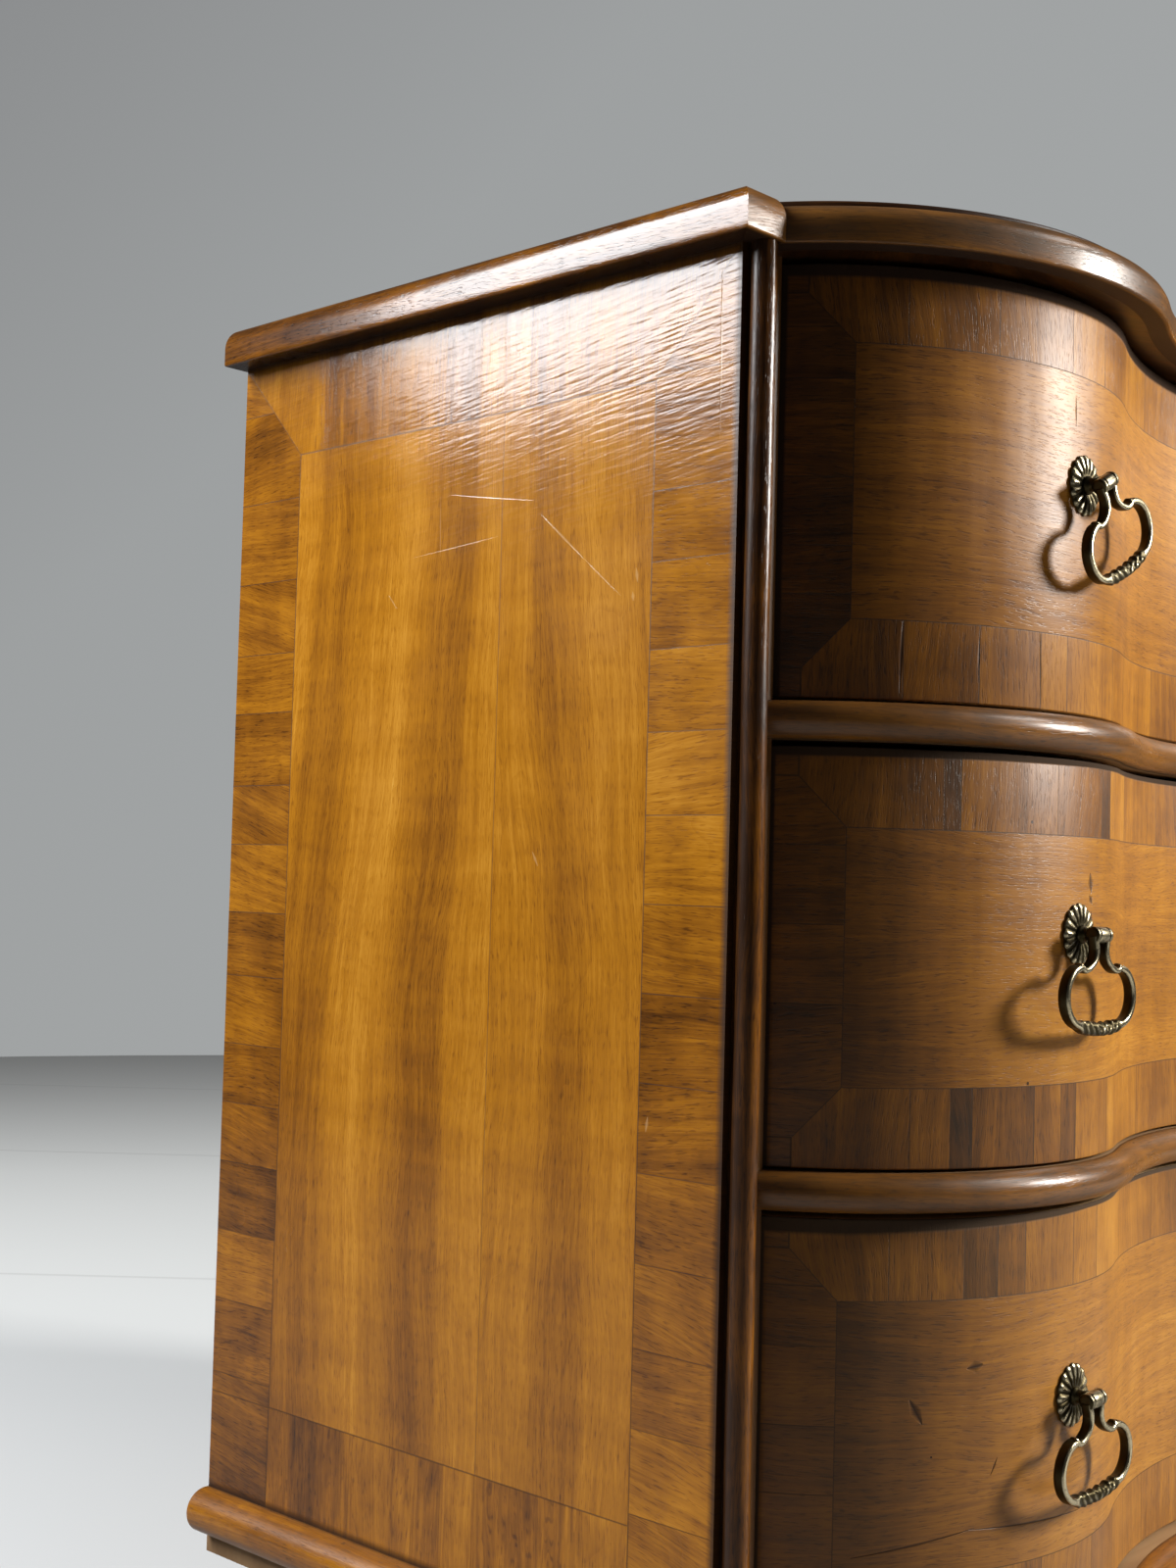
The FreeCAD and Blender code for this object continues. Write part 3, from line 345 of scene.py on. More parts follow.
# Surfaces carried round a piece: every new piece is one or more closed skins of rings.
# Ring i stands at a place along the piece, and its points j go once round the section.

def distance_along(points):
    """Length walked from the first point to each point of a line."""
    return np.concatenate([[0.0], np.cumsum(np.linalg.norm(np.diff(points, axis=0), axis=1))])


def closed_skin(rings, along=None, wear=0.0, finish=0, end_splits=None):
    """Quads from each ring to the next and one or more faces over each end, turned outwards.
    The enclosed volume is the sum of a . (b x c) / 6 over the triangles, and the faces are turned round if it is negative.
    The run map holds the distance along the piece and the distance round it, in metres."""
    rings = np.asarray(rings, dtype=float)
    stations, around = rings.shape[:2]
    along = distance_along(rings.mean(axis=1)) if along is None else along
    hoops = np.concatenate([rings, rings[:, :1]], axis=1)
    steps = np.linalg.norm(np.diff(hoops, axis=1), axis=2)
    across = np.concatenate([np.zeros((stations, 1)), np.cumsum(steps, axis=1)], axis=1)
    i, j = (grid.ravel() for grid in np.meshgrid(np.arange(stations - 1), np.arange(around), indexing="ij"))
    k = (j + 1) % around
    quads = np.stack([i * around + j, (i + 1) * around + j, (i + 1) * around + k, i * around + k], axis=1)
    run = np.stack([np.stack([along[s], across[s, t]], axis=1)
                    for s, t in ((i, j), (i + 1, j), (i + 1, j + 1), (i, j + 1))], axis=1)
    points = rings.reshape(-1, 3)
    a, b, c, d = (points[quads[:, n]] for n in range(4))
    volume = np.sum(a * np.cross(b, c)) + np.sum(a * np.cross(c, d))
    faces, corners, kinds = quads.tolist(), run.tolist(), np.broadcast_to(finish, around)[j].tolist()
    for station in (0, stations - 1):
        for part in end_splits or [range(around)]:
            face = [station * around + n for n in (part if station == 0 else part[::-1])]
            fan = points[face]
            volume += np.sum(fan[0] * np.cross(fan[1:-1], fan[2:]))
            faces.append(face)
            corners.append([(p[0] + p[1], p[2]) for p in fan.tolist()])
            kinds.append(max(kinds))
    if volume < 0:
        faces = [face[::-1] for face in faces]
        corners = [corner[::-1] for corner in corners]
    return points, faces, corners, np.broadcast_to(wear, (stations, around)).ravel(), kinds


def new_piece(name, skins, finishes, body, nodes, sharp=38):
    """Joins closed skins in one mesh that rides on a body and stands for its CAD nodes."""
    points, faces, corners, wear, kinds = zip(*skins)
    starts = np.cumsum([0] + [len(part) for part in points]).tolist()
    faces = [[n + start for n in face] for start, part in zip(starts, faces) for face in part]
    run = np.array([corner for part in corners for face in part for corner in face], dtype=np.float32)
    mesh = bpy.data.meshes.new(name)
    mesh.from_pydata(np.concatenate(points).tolist(), [], faces)
    mesh.uv_layers.new(name="run").data.foreach_set("uv", run.ravel())
    mesh.attributes.new("wear", "FLOAT", "POINT").data.foreach_set("value", np.concatenate(wear).astype(np.float32))
    for finish in finishes:
        mesh.materials.append(finish)
    mesh.polygons.foreach_set("material_index", np.concatenate(kinds).astype(np.int32))
    mesh.polygons.foreach_set("use_smooth", np.ones(len(faces), dtype=bool))
    mesh.set_sharp_from_angle(angle=math.radians(sharp))
    piece = bpy.data.objects.new(name, mesh)
    scene.collection.objects.link(piece)
    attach(piece, body)
    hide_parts(*nodes)


def dress(finish, *nodes):
    """Gives CAD nodes that stay in sight their material."""
    for node in nodes:
        for slot in frame["nodes"][node].material_slots:
            slot.material = finish


# Bun feet, turned from walnut: a flat pad, a full side of two arcs and a narrow neck.
# Each stands under a corner of the battens.

TURNED_WALNUT = moulding_finish("turned_walnut", 0.14, 0.38, coat=0.1)
PAD_RADIUS, NECK_RADIUS, CLOSED_RADIUS = 0.025, 0.023, 0.0005
BELLY_SHARE, SHOULDER_SHARE = 0.43, 0.88


def turned_rings(centre, axis, side, profile, count):
    """Rings of a turned piece: at distance h along the axis and radius r, the point at angle t is centre + h axis
    + r (cos t side + sin t (axis x side))."""
    axis, side = np.asarray(axis, dtype=float), np.asarray(side, dtype=float)
    turn = np.linspace(0, math.tau, count, endpoint=False)[:, None]
    circle = np.cos(turn) * side + np.sin(turn) * np.cross(axis, side)
    profile = np.asarray(profile, dtype=float)
    return np.asarray(centre) + profile[:, :1, None] * axis + profile[:, 1:, None] * circle


def bulge(low, high, belly, steps):
    """Heights and radii of an arc from (height, radius) low to high whose centre is level with the belly."""
    narrow, wide = (low, high) if high == belly else (high, low)
    inset, rise = wide[1] - narrow[1], narrow[0] - wide[0]
    radius = (inset ** 2 + rise ** 2) / (2 * inset)
    end = math.asin(rise / radius)
    turn = np.linspace(end, 0, steps) if high == belly else np.linspace(0, end, steps)
    return np.stack([wide[0] + radius * np.sin(turn), wide[1] - radius + radius * np.cos(turn)], axis=1)


for foot in ("foot_front_left", "foot_front_right", "foot_back_left", "foot_back_right"):
    low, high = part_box(foot)
    top = high[2]
    belly, shoulder = (top * BELLY_SHARE, (high[0] - low[0]) / 2), (top * SHOULDER_SHARE, NECK_RADIUS)
    profile = np.concatenate([[(0.0, CLOSED_RADIUS), (0.0, PAD_RADIUS * 0.7)], bulge((0.0, PAD_RADIUS), belly, belly, 22),
                              bulge(belly, shoulder, belly, 26)[1:], [(top, NECK_RADIUS), (top, CLOSED_RADIUS)]])
    rings = turned_rings(((low[0] + high[0]) / 2, (low[1] + high[1]) / 2, 0.0), (0, 0, 1), (1, 0, 0), profile, 72)
    wear = np.exp(-((profile[:, 0] - belly[0]) / 0.012) ** 2)[:, None]
    new_piece(foot + "_turned", [closed_skin(rings, distance_along(profile), wear)], [TURNED_WALNUT], "root",
              [foot])


# The serpentine line of the front: a bowed lobe at each end and a hollow between them, three tangent arcs.
# Boards, nosings and mouldings all follow it, each standing some reach outside the drawer faces.

EDGE_Y = float(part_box("side_panel_right")[0][1])
HALF = float(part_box("side_panel_right")[1][0])
LOBE_INSET, LOBE_SET_BACK, LOBE_RADIUS, HOLLOW_RADIUS = 0.177, 0.0921, 0.172, 0.322
LOBE_X, LOBE_Y = HALF - LOBE_INSET, EDGE_Y + LOBE_SET_BACK
HOLLOW_Y = LOBE_Y - math.sqrt((LOBE_RADIUS + HOLLOW_RADIUS) ** 2 - LOBE_X ** 2)
BEND = math.atan2(LOBE_Y - HOLLOW_Y, LOBE_X)


def arc(centre, radius, turn):
    """Points at centre + radius (cos t, sin t)."""
    return np.stack([centre[0] + radius * np.cos(turn), centre[1] + radius * np.sin(turn)], axis=1)


def serpentine(reach, end_x, end_y, hollow_steps=26, lobe_steps=60):
    """The line from left to right, ending where |x| is end_x or y is end_y. The hollow is an arc of its radius less the
    reach from the middle to the bend, and the lobe one of its radius and the reach from the bend to its end.
    Gives the points, and the distance of each from the middle along the drawer faces."""
    radius = LOBE_RADIUS + reach
    end = -max(math.acos(min(1.0, (end_x - LOBE_X) / radius)), math.asin(min(1.0, (LOBE_Y - end_y) / radius)))
    hollow_turn = np.linspace(math.pi / 2, BEND, hollow_steps)
    lobe_turn = np.linspace(BEND - math.pi, end, lobe_steps)[1:]
    right = np.concatenate([arc((0.0, HOLLOW_Y), HOLLOW_RADIUS - reach, hollow_turn),
                            arc((LOBE_X, LOBE_Y), radius, lobe_turn)])
    walked = np.concatenate([HOLLOW_RADIUS * (math.pi / 2 - hollow_turn),
                             HOLLOW_RADIUS * (math.pi / 2 - BEND) + LOBE_RADIUS * (lobe_turn - (BEND - math.pi))])
    return np.concatenate([right[:0:-1] * (-1, 1), right]), np.concatenate([-walked[:0:-1], walked])


def follow_serpentine(reach, section, end_x, end_y, low):
    """Rings of a section carried along the serpentine: each point of the section follows the line at its own reach."""
    lines = [serpentine(reach + point[0], end_x, end_y) for point in section]
    flat = np.stack([line[0] for line in lines], axis=1)
    heights = np.broadcast_to(low + section[:, 1], flat.shape[:2])
    return np.concatenate([flat, heights[:, :, None]], axis=2), lines[0][1]


# Mouldings: half-round ones on the dividers and the base, and a thumb moulding round the top.
# They are solid walnut, glued and pinned, with worn lower arrises.

def half_round(depth, height):
    """Section of a half-round moulding: flat back, level top and bottom, and a half circle of radius height / 2.
    Gives its wear too: rubbed on the nose, most near the lower arris, and below nought at the back and underneath,
    where it paints shade."""
    radius = height / 2
    turn = np.linspace(-math.pi / 2, math.pi / 2, 25)
    section = np.concatenate([[(0.0, 0.0)], arc((depth - radius, radius), radius, turn), [(0.0, height)]])
    nose_wear = (0.45 * np.cos(turn) ** 4 + 0.7 * np.exp(-((turn + 1.1) / 0.16) ** 2)
                 - np.exp(-((turn + math.pi / 2) / 0.14) ** 2))
    return section, np.concatenate([[-1.0], nose_wear, [-0.8]])


def thumb(depth, height, rounding):
    """Section of a thumb moulding: flat below, a sharp lower arris, an upright face and a quarter circle above it.
    Gives its wear too: rubbed on the arris, and below nought underneath, where it paints shade."""
    turn = np.linspace(0, math.pi / 2, 19)
    arris = [(depth - 0.0026, 0.0), (depth - 0.0012, 0.0), (depth - 0.0005, 0.00012), (depth - 0.00012, 0.0005),
             (depth, 0.0012)]
    upright = [(depth, height_up) for height_up in np.linspace(0.0012, height - rounding, 4)[1:-1]]
    nose = arc((depth - rounding, height - rounding), rounding, turn)
    section = np.concatenate([[(0.0, 0.0)], arris, upright, nose, [(0.0, height)]])
    wear = np.concatenate([[-1.0, -1.0, 0.1, 1.0, 1.0, 0.6, 0.3, 0.3], 0.3 + 0.2 * np.sin(2 * turn) ** 2, [0.0]])
    return section, wear


def side_rings(section, z, rear, side):
    """A straight moulding along one side: its points run from the rear to the mitre, where y is the front edge less
    their distance from the panel."""
    t = np.linspace(0, 1, 40)[:, None]
    y = rear * (1 - t) + (EDGE_Y - section[:, 0]) * t
    x = np.broadcast_to(side * (HALF + section[:, 0]), y.shape)
    return np.stack([x, y, np.broadcast_to(z + section[:, 1], y.shape)], axis=2)


def return_rings(section, z, width, side):
    """The short front piece at a corner: its points run from its inner end to the mitre."""
    t = np.linspace(0, 1, 8)[:, None]
    x = (HALF - width) * (1 - t) + (HALF + section[:, 0]) * t
    y = np.broadcast_to(EDGE_Y - section[:, 0], x.shape)
    return np.stack([side * x, y, np.broadcast_to(z + section[:, 1], x.shape)], axis=2)


def new_moulding(node, skin, finish):
    new_piece(node + "_wood", [skin], [finish], "root", [node])


def lay_mouldings(prefix, side_shape, front_shape, front_reach, side_finish, corner_finish, front_finish):
    """The mouldings round a board: left and right, two corner returns and the serpentine front."""
    low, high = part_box(prefix + "_moulding_right")
    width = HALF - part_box(prefix + "_corner_right")[0][0]
    section, wear = side_shape
    for label, side in (("left", -1), ("right", 1)):
        sides = side_rings(section, low[2], high[1], side)
        new_moulding("%s_moulding_%s" % (prefix, label), closed_skin(sides, wear=wear), side_finish)
        corner = return_rings(section, low[2], width, side)
        new_moulding("%s_corner_%s" % (prefix, label), closed_skin(corner, wear=wear), corner_finish)
    front, walked = follow_serpentine(front_reach, front_shape[0], HALF - width, EDGE_Y, low[2])
    new_moulding(prefix + "_moulding_front", closed_skin(front, walked, front_shape[1]), front_finish)


BASE_MOULDING = moulding_finish("base_moulding_walnut", 0.46, 0.66, coat=0.1)
BASE_REACH = 0.0079
base_shape = half_round(0.015, 0.025)
lay_mouldings("base", base_shape, base_shape, BASE_REACH, BASE_MOULDING, BASE_MOULDING, BASE_MOULDING)

NOSING = moulding_finish("nosing_walnut", 0.30, 0.52, coat=0.1, bloom=0.12)
nosing_section, nosing_wear = half_round(0.0104, 0.0185)
for node in ("upper_nosing", "lower_nosing"):
    rings, walked = follow_serpentine(0.0, nosing_section, HALF, EDGE_Y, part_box(node)[0][2])
    new_moulding(node, closed_skin(rings, walked, nosing_wear), NOSING)

TOP_REACH = 0.011
TOP_MOULDING = moulding_finish("top_moulding_walnut", 0.20, 0.46, shine=0.32, rubbed_down=0.46)
CORNER_WALNUT = moulding_finish("corner_walnut", 0.30, 0.56, shine=0.20, bloom=0.15)
FRONT_MOULDING = moulding_finish("front_moulding_walnut", 0.18, 0.48, bloom=0.14)
lay_mouldings("top", thumb(0.015, 0.024, 0.014), thumb(0.0119, 0.020, 0.010), TOP_REACH,
              TOP_MOULDING, CORNER_WALNUT, FRONT_MOULDING)


# Corner beads: a round walnut rod up each front corner, on a narrow neck that leaves a dark quirk beside the panel.
# It runs from the base board to the top board, and its outer side is rubbed bright.

BEAD_WALNUT = moulding_finish("bead_walnut", 0.04, 0.40, shine=0.28)
BEAD_RADIUS, BEAD_NECK, BEAD_INSET, BEAD_REACH, BEAD_LEVELS = 0.0062, 0.00325, 0.0075, 0.0071, 60
for label, side in (("left", -1), ("right", 1)):
    node = "corner_bead_" + label
    low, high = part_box(node)
    centre = (side * (HALF - BEAD_INSET), EDGE_Y - BEAD_REACH)
    mouth = math.asin(BEAD_NECK / BEAD_RADIUS)
    turn = np.linspace(math.pi / 2 + mouth, math.pi / 2 + math.tau - mouth, 45)
    neck = [(centre[0] + BEAD_NECK, EDGE_Y), (centre[0] - BEAD_NECK, EDGE_Y)]
    plan = np.concatenate([arc(centre, BEAD_RADIUS, turn), neck])
    levels = np.linspace(low[2], high[2], BEAD_LEVELS)[:, None]
    waver = 0.00018 * np.sin(levels * 21.0 + side) + 0.00012 * np.sin(levels * 53.0)
    x = plan[:, 0] + waver
    rings = np.stack([x, np.broadcast_to(plan[:, 1], x.shape), np.broadcast_to(levels, x.shape)], axis=2)
    wear = np.concatenate([0.8 * np.clip(-np.sin(turn), 0, 1) ** 2, [0.0, 0.0]])
    new_moulding(node, closed_skin(rings, levels[:, 0], wear), BEAD_WALNUT)


# Veneer laid in bands: a field inside a border whose pieces have their grain across it, mitred at the corners.
# Shares are distances from the edges over the width of the border, so the border is where the least share is under 1.

banding, bench, given, result = new_group("veneer_banding", ("Side", "End"), ("Field", "Ends", "Line", "Mitre"))
least_share = bench.least(given["Side"], given["End"])
bench.feed(result["Field"], least_share > 1.0)
bench.feed(result["Ends"], (given["End"] < given["Side"]) * (given["End"] < 1.0))
bench.feed(result["Line"], bench.line(least_share - 1.0, 0.004, 0.010))
bench.feed(result["Mitre"], bench.line(given["Side"] - given["End"], 0.006, 0.013) * (least_share < 1.0))

stroke, bench, given, result = new_group("stroke", ("U", "V", "U1", "V1", "U2", "V2", "Width"), ("Mask",))
run_u, run_v = given["U2"] - given["U1"], given["V2"] - given["V1"]
off_u, off_v = given["U"] - given["U1"], given["V"] - given["V1"]
share = bench.math("DIVIDE", off_u * run_u + off_v * run_v, run_u * run_u + run_v * run_v, clamp=True)
gap_u, gap_v = off_u - run_u * share, off_v - run_v * share
gap = bench.math("SQRT", gap_u * gap_u + gap_v * gap_v)
thin = 1.0 - abs(share - 0.5) * 1.6
bench.feed(result["Mask"], bench.math("SUBTRACT", 1.0, gap / (given["Width"] * thin), clamp=True))

wormed, bench, given, result = new_group("worm_holes", ("U", "V", "Density"), ("Mask",))
place = bench.vector(given["U"], given["V"])
cells = bench.add("ShaderNodeTexVoronoi", {"Vector": place, "Scale": 38.0}, voronoi_dimensions="2D")
chance = bench.split(Value(bench, cells.outputs["Color"]))
hole = Value(bench, cells.outputs["Distance"]) < bench.between(chance[1], 0.0, 1.0, 0.016, 0.036)
bench.feed(result["Mask"], hole * (chance[0] < given["Density"]))


def strokes(bench, u, v, marks, mask=0.0):
    """A mask with marks added to it, each from (u1, v1) to (u2, v2), so wide at its middle and thinner at its ends."""
    for u1, v1, u2, v2, width in marks:
        mask = bench.most(mask, bench.group(stroke, U=u, V=v, U1=u1, V1=v1, U2=u2, V2=v2, Width=width)["Mask"])
    return mask


JOINT_WIDTH, SAME_TONE = 0.00055, 0.004


def veneer_pieces(bench, place, low, high, pieces):
    """Border pieces in a row. pieces holds (where the piece starts, its tone). A joint shows where the tone a joint's
    width further on is another one."""
    stops = [((start - low) / (high - low), tone) for start, tone in pieces]
    here = bench.ramp(bench.between(place, low, high), stops, flat=True)
    ahead = bench.ramp(bench.between(place + JOINT_WIDTH, low, high), stops, flat=True)
    return here, abs(here - ahead) > SAME_TONE


def leaning(bench, tone, upright, most):
    """How far the grain of a border piece leans, as if drawn by lot: the digits of its tone far behind the point."""
    return (bench.math("FRACT", tone * 71.7) - upright) * most


# Side panels: two leaves of faded walnut, jointed near the front, inside a crossbanded border.
# The polish is scratched, and ripples across the grain near the top.

FRONT_BAND, REAR_BAND, TOP_BAND, LOW_BAND = 0.052, 0.054, 0.058, 0.056
SIDE_SEAM, SIDE_ROWS, FIELD_SPAN = 0.157, (0.09, 0.77), (0.04, 0.34)
SCRATCHES = [
    (0.128, 0.642, 0.098, 0.617, 0.0009), (0.098, 0.617, 0.072, 0.596, 0.0005), (0.196, 0.660, 0.134, 0.650, 0.0005),
    (0.226, 0.629, 0.160, 0.634, 0.0005), (0.012, 0.745, 0.011, 0.665, 0.0008), (0.205, 0.660, 0.204, 0.628, 0.0004),
    (0.245, 0.610, 0.238, 0.602, 0.0007), (0.062, 0.6085, 0.061, 0.602, 0.0016), (0.064, 0.597, 0.0635, 0.593, 0.0015),
    (0.128, 0.470, 0.124, 0.463, 0.0012), (0.046, 0.345, 0.047, 0.338, 0.0014)]

low, high = np.array(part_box("side_panel_left")).tolist()
panel_rear, full_depth = high[1], high[1] - low[1]
side_veneer, bench = new_material("side_veneer")
_, y, height = bench.split(bench.place())
depth = y - low[1]
front_share, rear_share = depth / FRONT_BAND, (full_depth - depth) / REAR_BAND
top_share, low_share = (high[2] - height) / TOP_BAND, (height - low[2]) / LOW_BAND
upright_share = bench.least(front_share, rear_share)
bands = bench.group(banding, Side=upright_share, End=bench.least(top_share, low_share))
in_field, in_border = bands["Field"], 1.0 - bands["Field"]

front_tone, front_joint = veneer_pieces(bench, height, *SIDE_ROWS, [
    (0.09, 0.60), (0.159, 0.66), (0.198, 0.54), (0.235, 0.56), (0.275, 0.55), (0.318, 0.50), (0.3595, 0.47), (0.403, 0.55),
    (0.4456, 0.65), (0.486, 0.64), (0.528, 0.61), (0.568, 0.55), (0.6105, 0.58), (0.645, 0.51), (0.70, 0.53)])
rear_tone, rear_joint = veneer_pieces(bench, height, *SIDE_ROWS, [
    (0.09, 0.48), (0.164, 0.50), (0.2046, 0.58), (0.245, 0.41), (0.286, 0.52), (0.321, 0.47), (0.353, 0.55), (0.395, 0.44),
    (0.4314, 0.59), (0.4715, 0.53), (0.5058, 0.47), (0.5477, 0.57), (0.5825, 0.49), (0.626, 0.54), (0.6738, 0.46),
    (0.7268, 0.52)])
is_rear = depth > full_depth / 2
low_tone = bench.ramp(bench.between(depth, *FIELD_SPAN), [
    (0.0, 0.70), (0.14, 0.70), (0.19, 0.58), (0.30, 0.51), (0.38, 0.57), (0.40, 0.71), (0.46, 0.70), (0.48, 0.56),
    (0.53, 0.56), (0.55, 0.69), (0.62, 0.66), (0.71, 0.66), (0.75, 0.53), (0.84, 0.47), (0.90, 0.50), (0.91, 0.60),
    (1.0, 0.58)])

waver = bench.noise(bench.vector(depth * 7.0, height * 2.2, 3.0))
which_leaf = bench.between(depth, SIDE_SEAM - 0.03, SIDE_SEAM + 0.03, -1.0, 1.0)
streak_place = depth + which_leaf * bench.between(height, 0.40, 0.66, 0.0, 0.026) + (waver - 0.5) * 0.016
field_tone = bench.ramp(bench.between(streak_place, *FIELD_SPAN), [
    (0.0, 0.68), (0.10, 0.73), (0.14, 0.71), (0.17, 0.60), (0.22, 0.57), (0.25, 0.60), (0.275, 0.67), (0.33, 0.71),
    (0.385, 0.68), (0.395, 0.74), (0.44, 0.73), (0.495, 0.71), (0.505, 0.58), (0.55, 0.52), (0.60, 0.57), (0.64, 0.69),
    (0.70, 0.77), (0.76, 0.75), (0.80, 0.71), (0.83, 0.61), (0.88, 0.57), (0.92, 0.62), (0.955, 0.57), (0.975, 0.72),
    (1.0, 0.76)])
top_or_low_tone = bench.choose(height > 0.4, low_tone, field_tone - 0.14)
seam_line = bench.line(depth - SIDE_SEAM, 0.00015, 0.0005, 0.7)

in_low = low_share < 1.0
butted = (upright_share < 1.0) * in_low
from_block = bench.least(abs(rear_share - 1.0), abs(low_share - 1.0))
block_line = (rear_share < 1.0) * in_low * bench.line(from_block, 0.010, 0.018)
butt_line = in_low * bench.line(front_share - 1.0, 0.006, 0.012)
mitre = bench.most(bands["Mitre"] * 0.6 * (1.0 - butted), block_line, butt_line)
in_ends = bands["Ends"] * (1.0 - butted)
band_tone = bench.choose(in_ends, bench.choose(is_rear, front_tone, rear_tone), top_or_low_tone)
band_joint = bench.choose(in_ends, bench.choose(is_rear, front_joint, rear_joint), 0.0)
tone = bench.choose(in_field, band_tone, field_tone)
# Painted shade: the panel is darkened towards the bottom, and more towards the rear, for the fall of the window light.
tone = tone + bench.between(height, 0.1, 0.55, -0.09, 0.0) * bench.between(depth, 0.15, 0.3, 1.0, 1.6)
upright = bench.most(in_field, in_ends)
lean = in_border * (1.0 - in_ends) * leaning(bench, band_tone, 0.7, 0.4)
line = bench.most(bands["Line"], mitre, bench.choose(in_field, band_joint, seam_line)) * 0.62
# Painted shade: the veneer is darkened to the joint colour within a few millimetres of the top, front and bottom edges,
# for the shade under the top moulding, in the quirk beside the bead and above the base moulding.
line = bench.most(line, bench.between(bench.least(high[2] - height, depth, height - low[2]), 0.001, 0.0045, 0.85, 0.0))
wood = bench.group(
    walnut, Along=bench.choose(upright, depth, height),
    Across=bench.choose(upright, height, bench.choose(in_field, depth, streak_place)),
    Leaf=band_tone * in_border + (depth > SIDE_SEAM), Lean=lean, Tone=tone, Contrast=0.28,
    Smudge=in_border * 0.50 + 0.10, Line=line)
scratched = strokes(bench, depth, height, SCRATCHES)
colour = bench.blend(scratched * 0.3, wood["Color"], (0.80, 0.55, 0.27, 1))
ripple = bench.noise(bench.vector(depth * 48.0, (depth * 0.12 + height) * 400.0), detail=1.5)
ripple = ripple * bench.between(height, 0.60, 0.71, 0.04, bench.between(depth, 0.04, 0.07, 1.9, 1.2))
surface = wood["Height"] * bench.between(height, 0.45, 0.66, 0.42, 0.15) + ripple - scratched * 0.5
polish(bench, colour, wood["Roughness"] * bench.between(height, 0.50, 0.67, 1.25, 0.72), surface, depth=0.00009, shine=0.31)
dress(side_veneer, "side_panel_left", "side_panel_right")


# Top board: the front edge is a thin dark polished lip above the moulding, and the board has its own crossbanding.
# It ends at the moulding mitres, and its veneer is jointed down the middle.

TOP_BORDER, TOP_LIP, NEAR_ROWS, TOP_OVERHANG = 0.05, 0.0022, 0.07, 0.003
top_veneer, bench = new_material("top_veneer")
x, y, _ = bench.split(bench.place())
from_middle = abs(x)
bands = bench.group(banding, Side=(HALF - from_middle) / TOP_BORDER,
                    End=bench.least(bench.wear(), panel_rear + TOP_OVERHANG - y) / TOP_BORDER)
in_field, in_ends = bands["Field"], bands["Ends"]
end_tone, end_joint = veneer_pieces(bench, from_middle, 0.0, 0.39, [
    (0.0, 0.52), (0.052, 0.44), (0.103, 0.58), (0.156, 0.48), (0.208, 0.40), (0.262, 0.54), (0.318, 0.46)])
side_tone, side_joint = veneer_pieces(bench, y, -0.16, 0.26, [
    (-0.16, 0.46), (-0.101, 0.54), (-0.052, 0.42), (-0.003, 0.56), (0.046, 0.48), (0.094, 0.40), (0.141, 0.55),
    (0.19, 0.46)])
waver = bench.noise(bench.vector(x * 2.0, abs(y) * 9.0))
tone = bench.choose(in_field, bench.choose(in_ends, side_tone, end_tone), bench.between(waver, 0.3, 0.7, 0.42, 0.66))
joint = bench.choose(in_field, bench.choose(in_ends, side_joint, end_joint), 0.0)
line = bench.most(bands["Line"], bands["Mitre"], joint, bench.line(x, 0.0001, 0.0005)) * 0.75
wood = bench.group(walnut, Along=bench.choose(in_ends, from_middle, y), Across=bench.choose(in_ends, y, from_middle),
                   Leaf=tone * (1.0 - in_field), Tone=tone, Contrast=0.35, Smudge=0.3, Line=line)
polish(bench, wood["Color"], wood["Roughness"], wood["Height"], depth=0.00010)
TOP_EDGE = moulding_finish("top_edge_walnut", 0.06, 0.10, coat=0.4)

low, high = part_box("top_board")
front_line, _ = serpentine(TOP_REACH, HALF, EDGE_Y)
shoulder_x = np.linspace(front_line[-1][0], HALF, 6)[1:]
shoulder = np.stack([shoulder_x, np.full(5, EDGE_Y)], axis=1)
outline = np.concatenate([shoulder[::-1] * (-1, 1), front_line, shoulder])
lip_turn = np.linspace(0, math.pi / 2, 6)
lip_in = np.concatenate([[0.0], TOP_LIP - TOP_LIP * np.cos(lip_turn)])
lip_up = np.concatenate([[low[2]], high[2] - TOP_LIP + TOP_LIP * np.sin(lip_turn)])
inner = np.concatenate([[0.004, 0.008], np.linspace(0.012, NEAR_ROWS, 24)])
share = np.linspace(0, 1, 26)[1:]
rows_y = [outline[:, 1] + value for value in np.concatenate([lip_in, inner])]
rows_y += [(outline[:, 1] + NEAR_ROWS) * (1 - value) + high[1] * value for value in share]
rows_y.append(np.full(len(outline), high[1]))
rows_z = np.concatenate([lip_up, np.full(len(inner) + len(share), high[2]), [low[2]]])
y = np.stack(rows_y, axis=1)
rings = np.stack([np.broadcast_to(outline[:, :1], y.shape), y, np.broadcast_to(rows_z, y.shape)], axis=2)
from_front = np.linalg.norm(rings[:, :, None, :2] - outline, axis=3).min(axis=2)
kind = np.zeros(len(rows_z), dtype=int)
kind[:len(lip_turn)] = kind[-1] = 1
new_piece("top_board_veneered", [closed_skin(rings, outline[:, 0], from_front, kind)], [top_veneer, TOP_EDGE], "root",
          ["top_board"])


# Drawer fronts: bowed pine cores with walnut veneer on the face. A field with the grain along the front lies in a
# border, upright pieces above and below it and level ones at the ends, some of them shrunk, wormed and cracked.

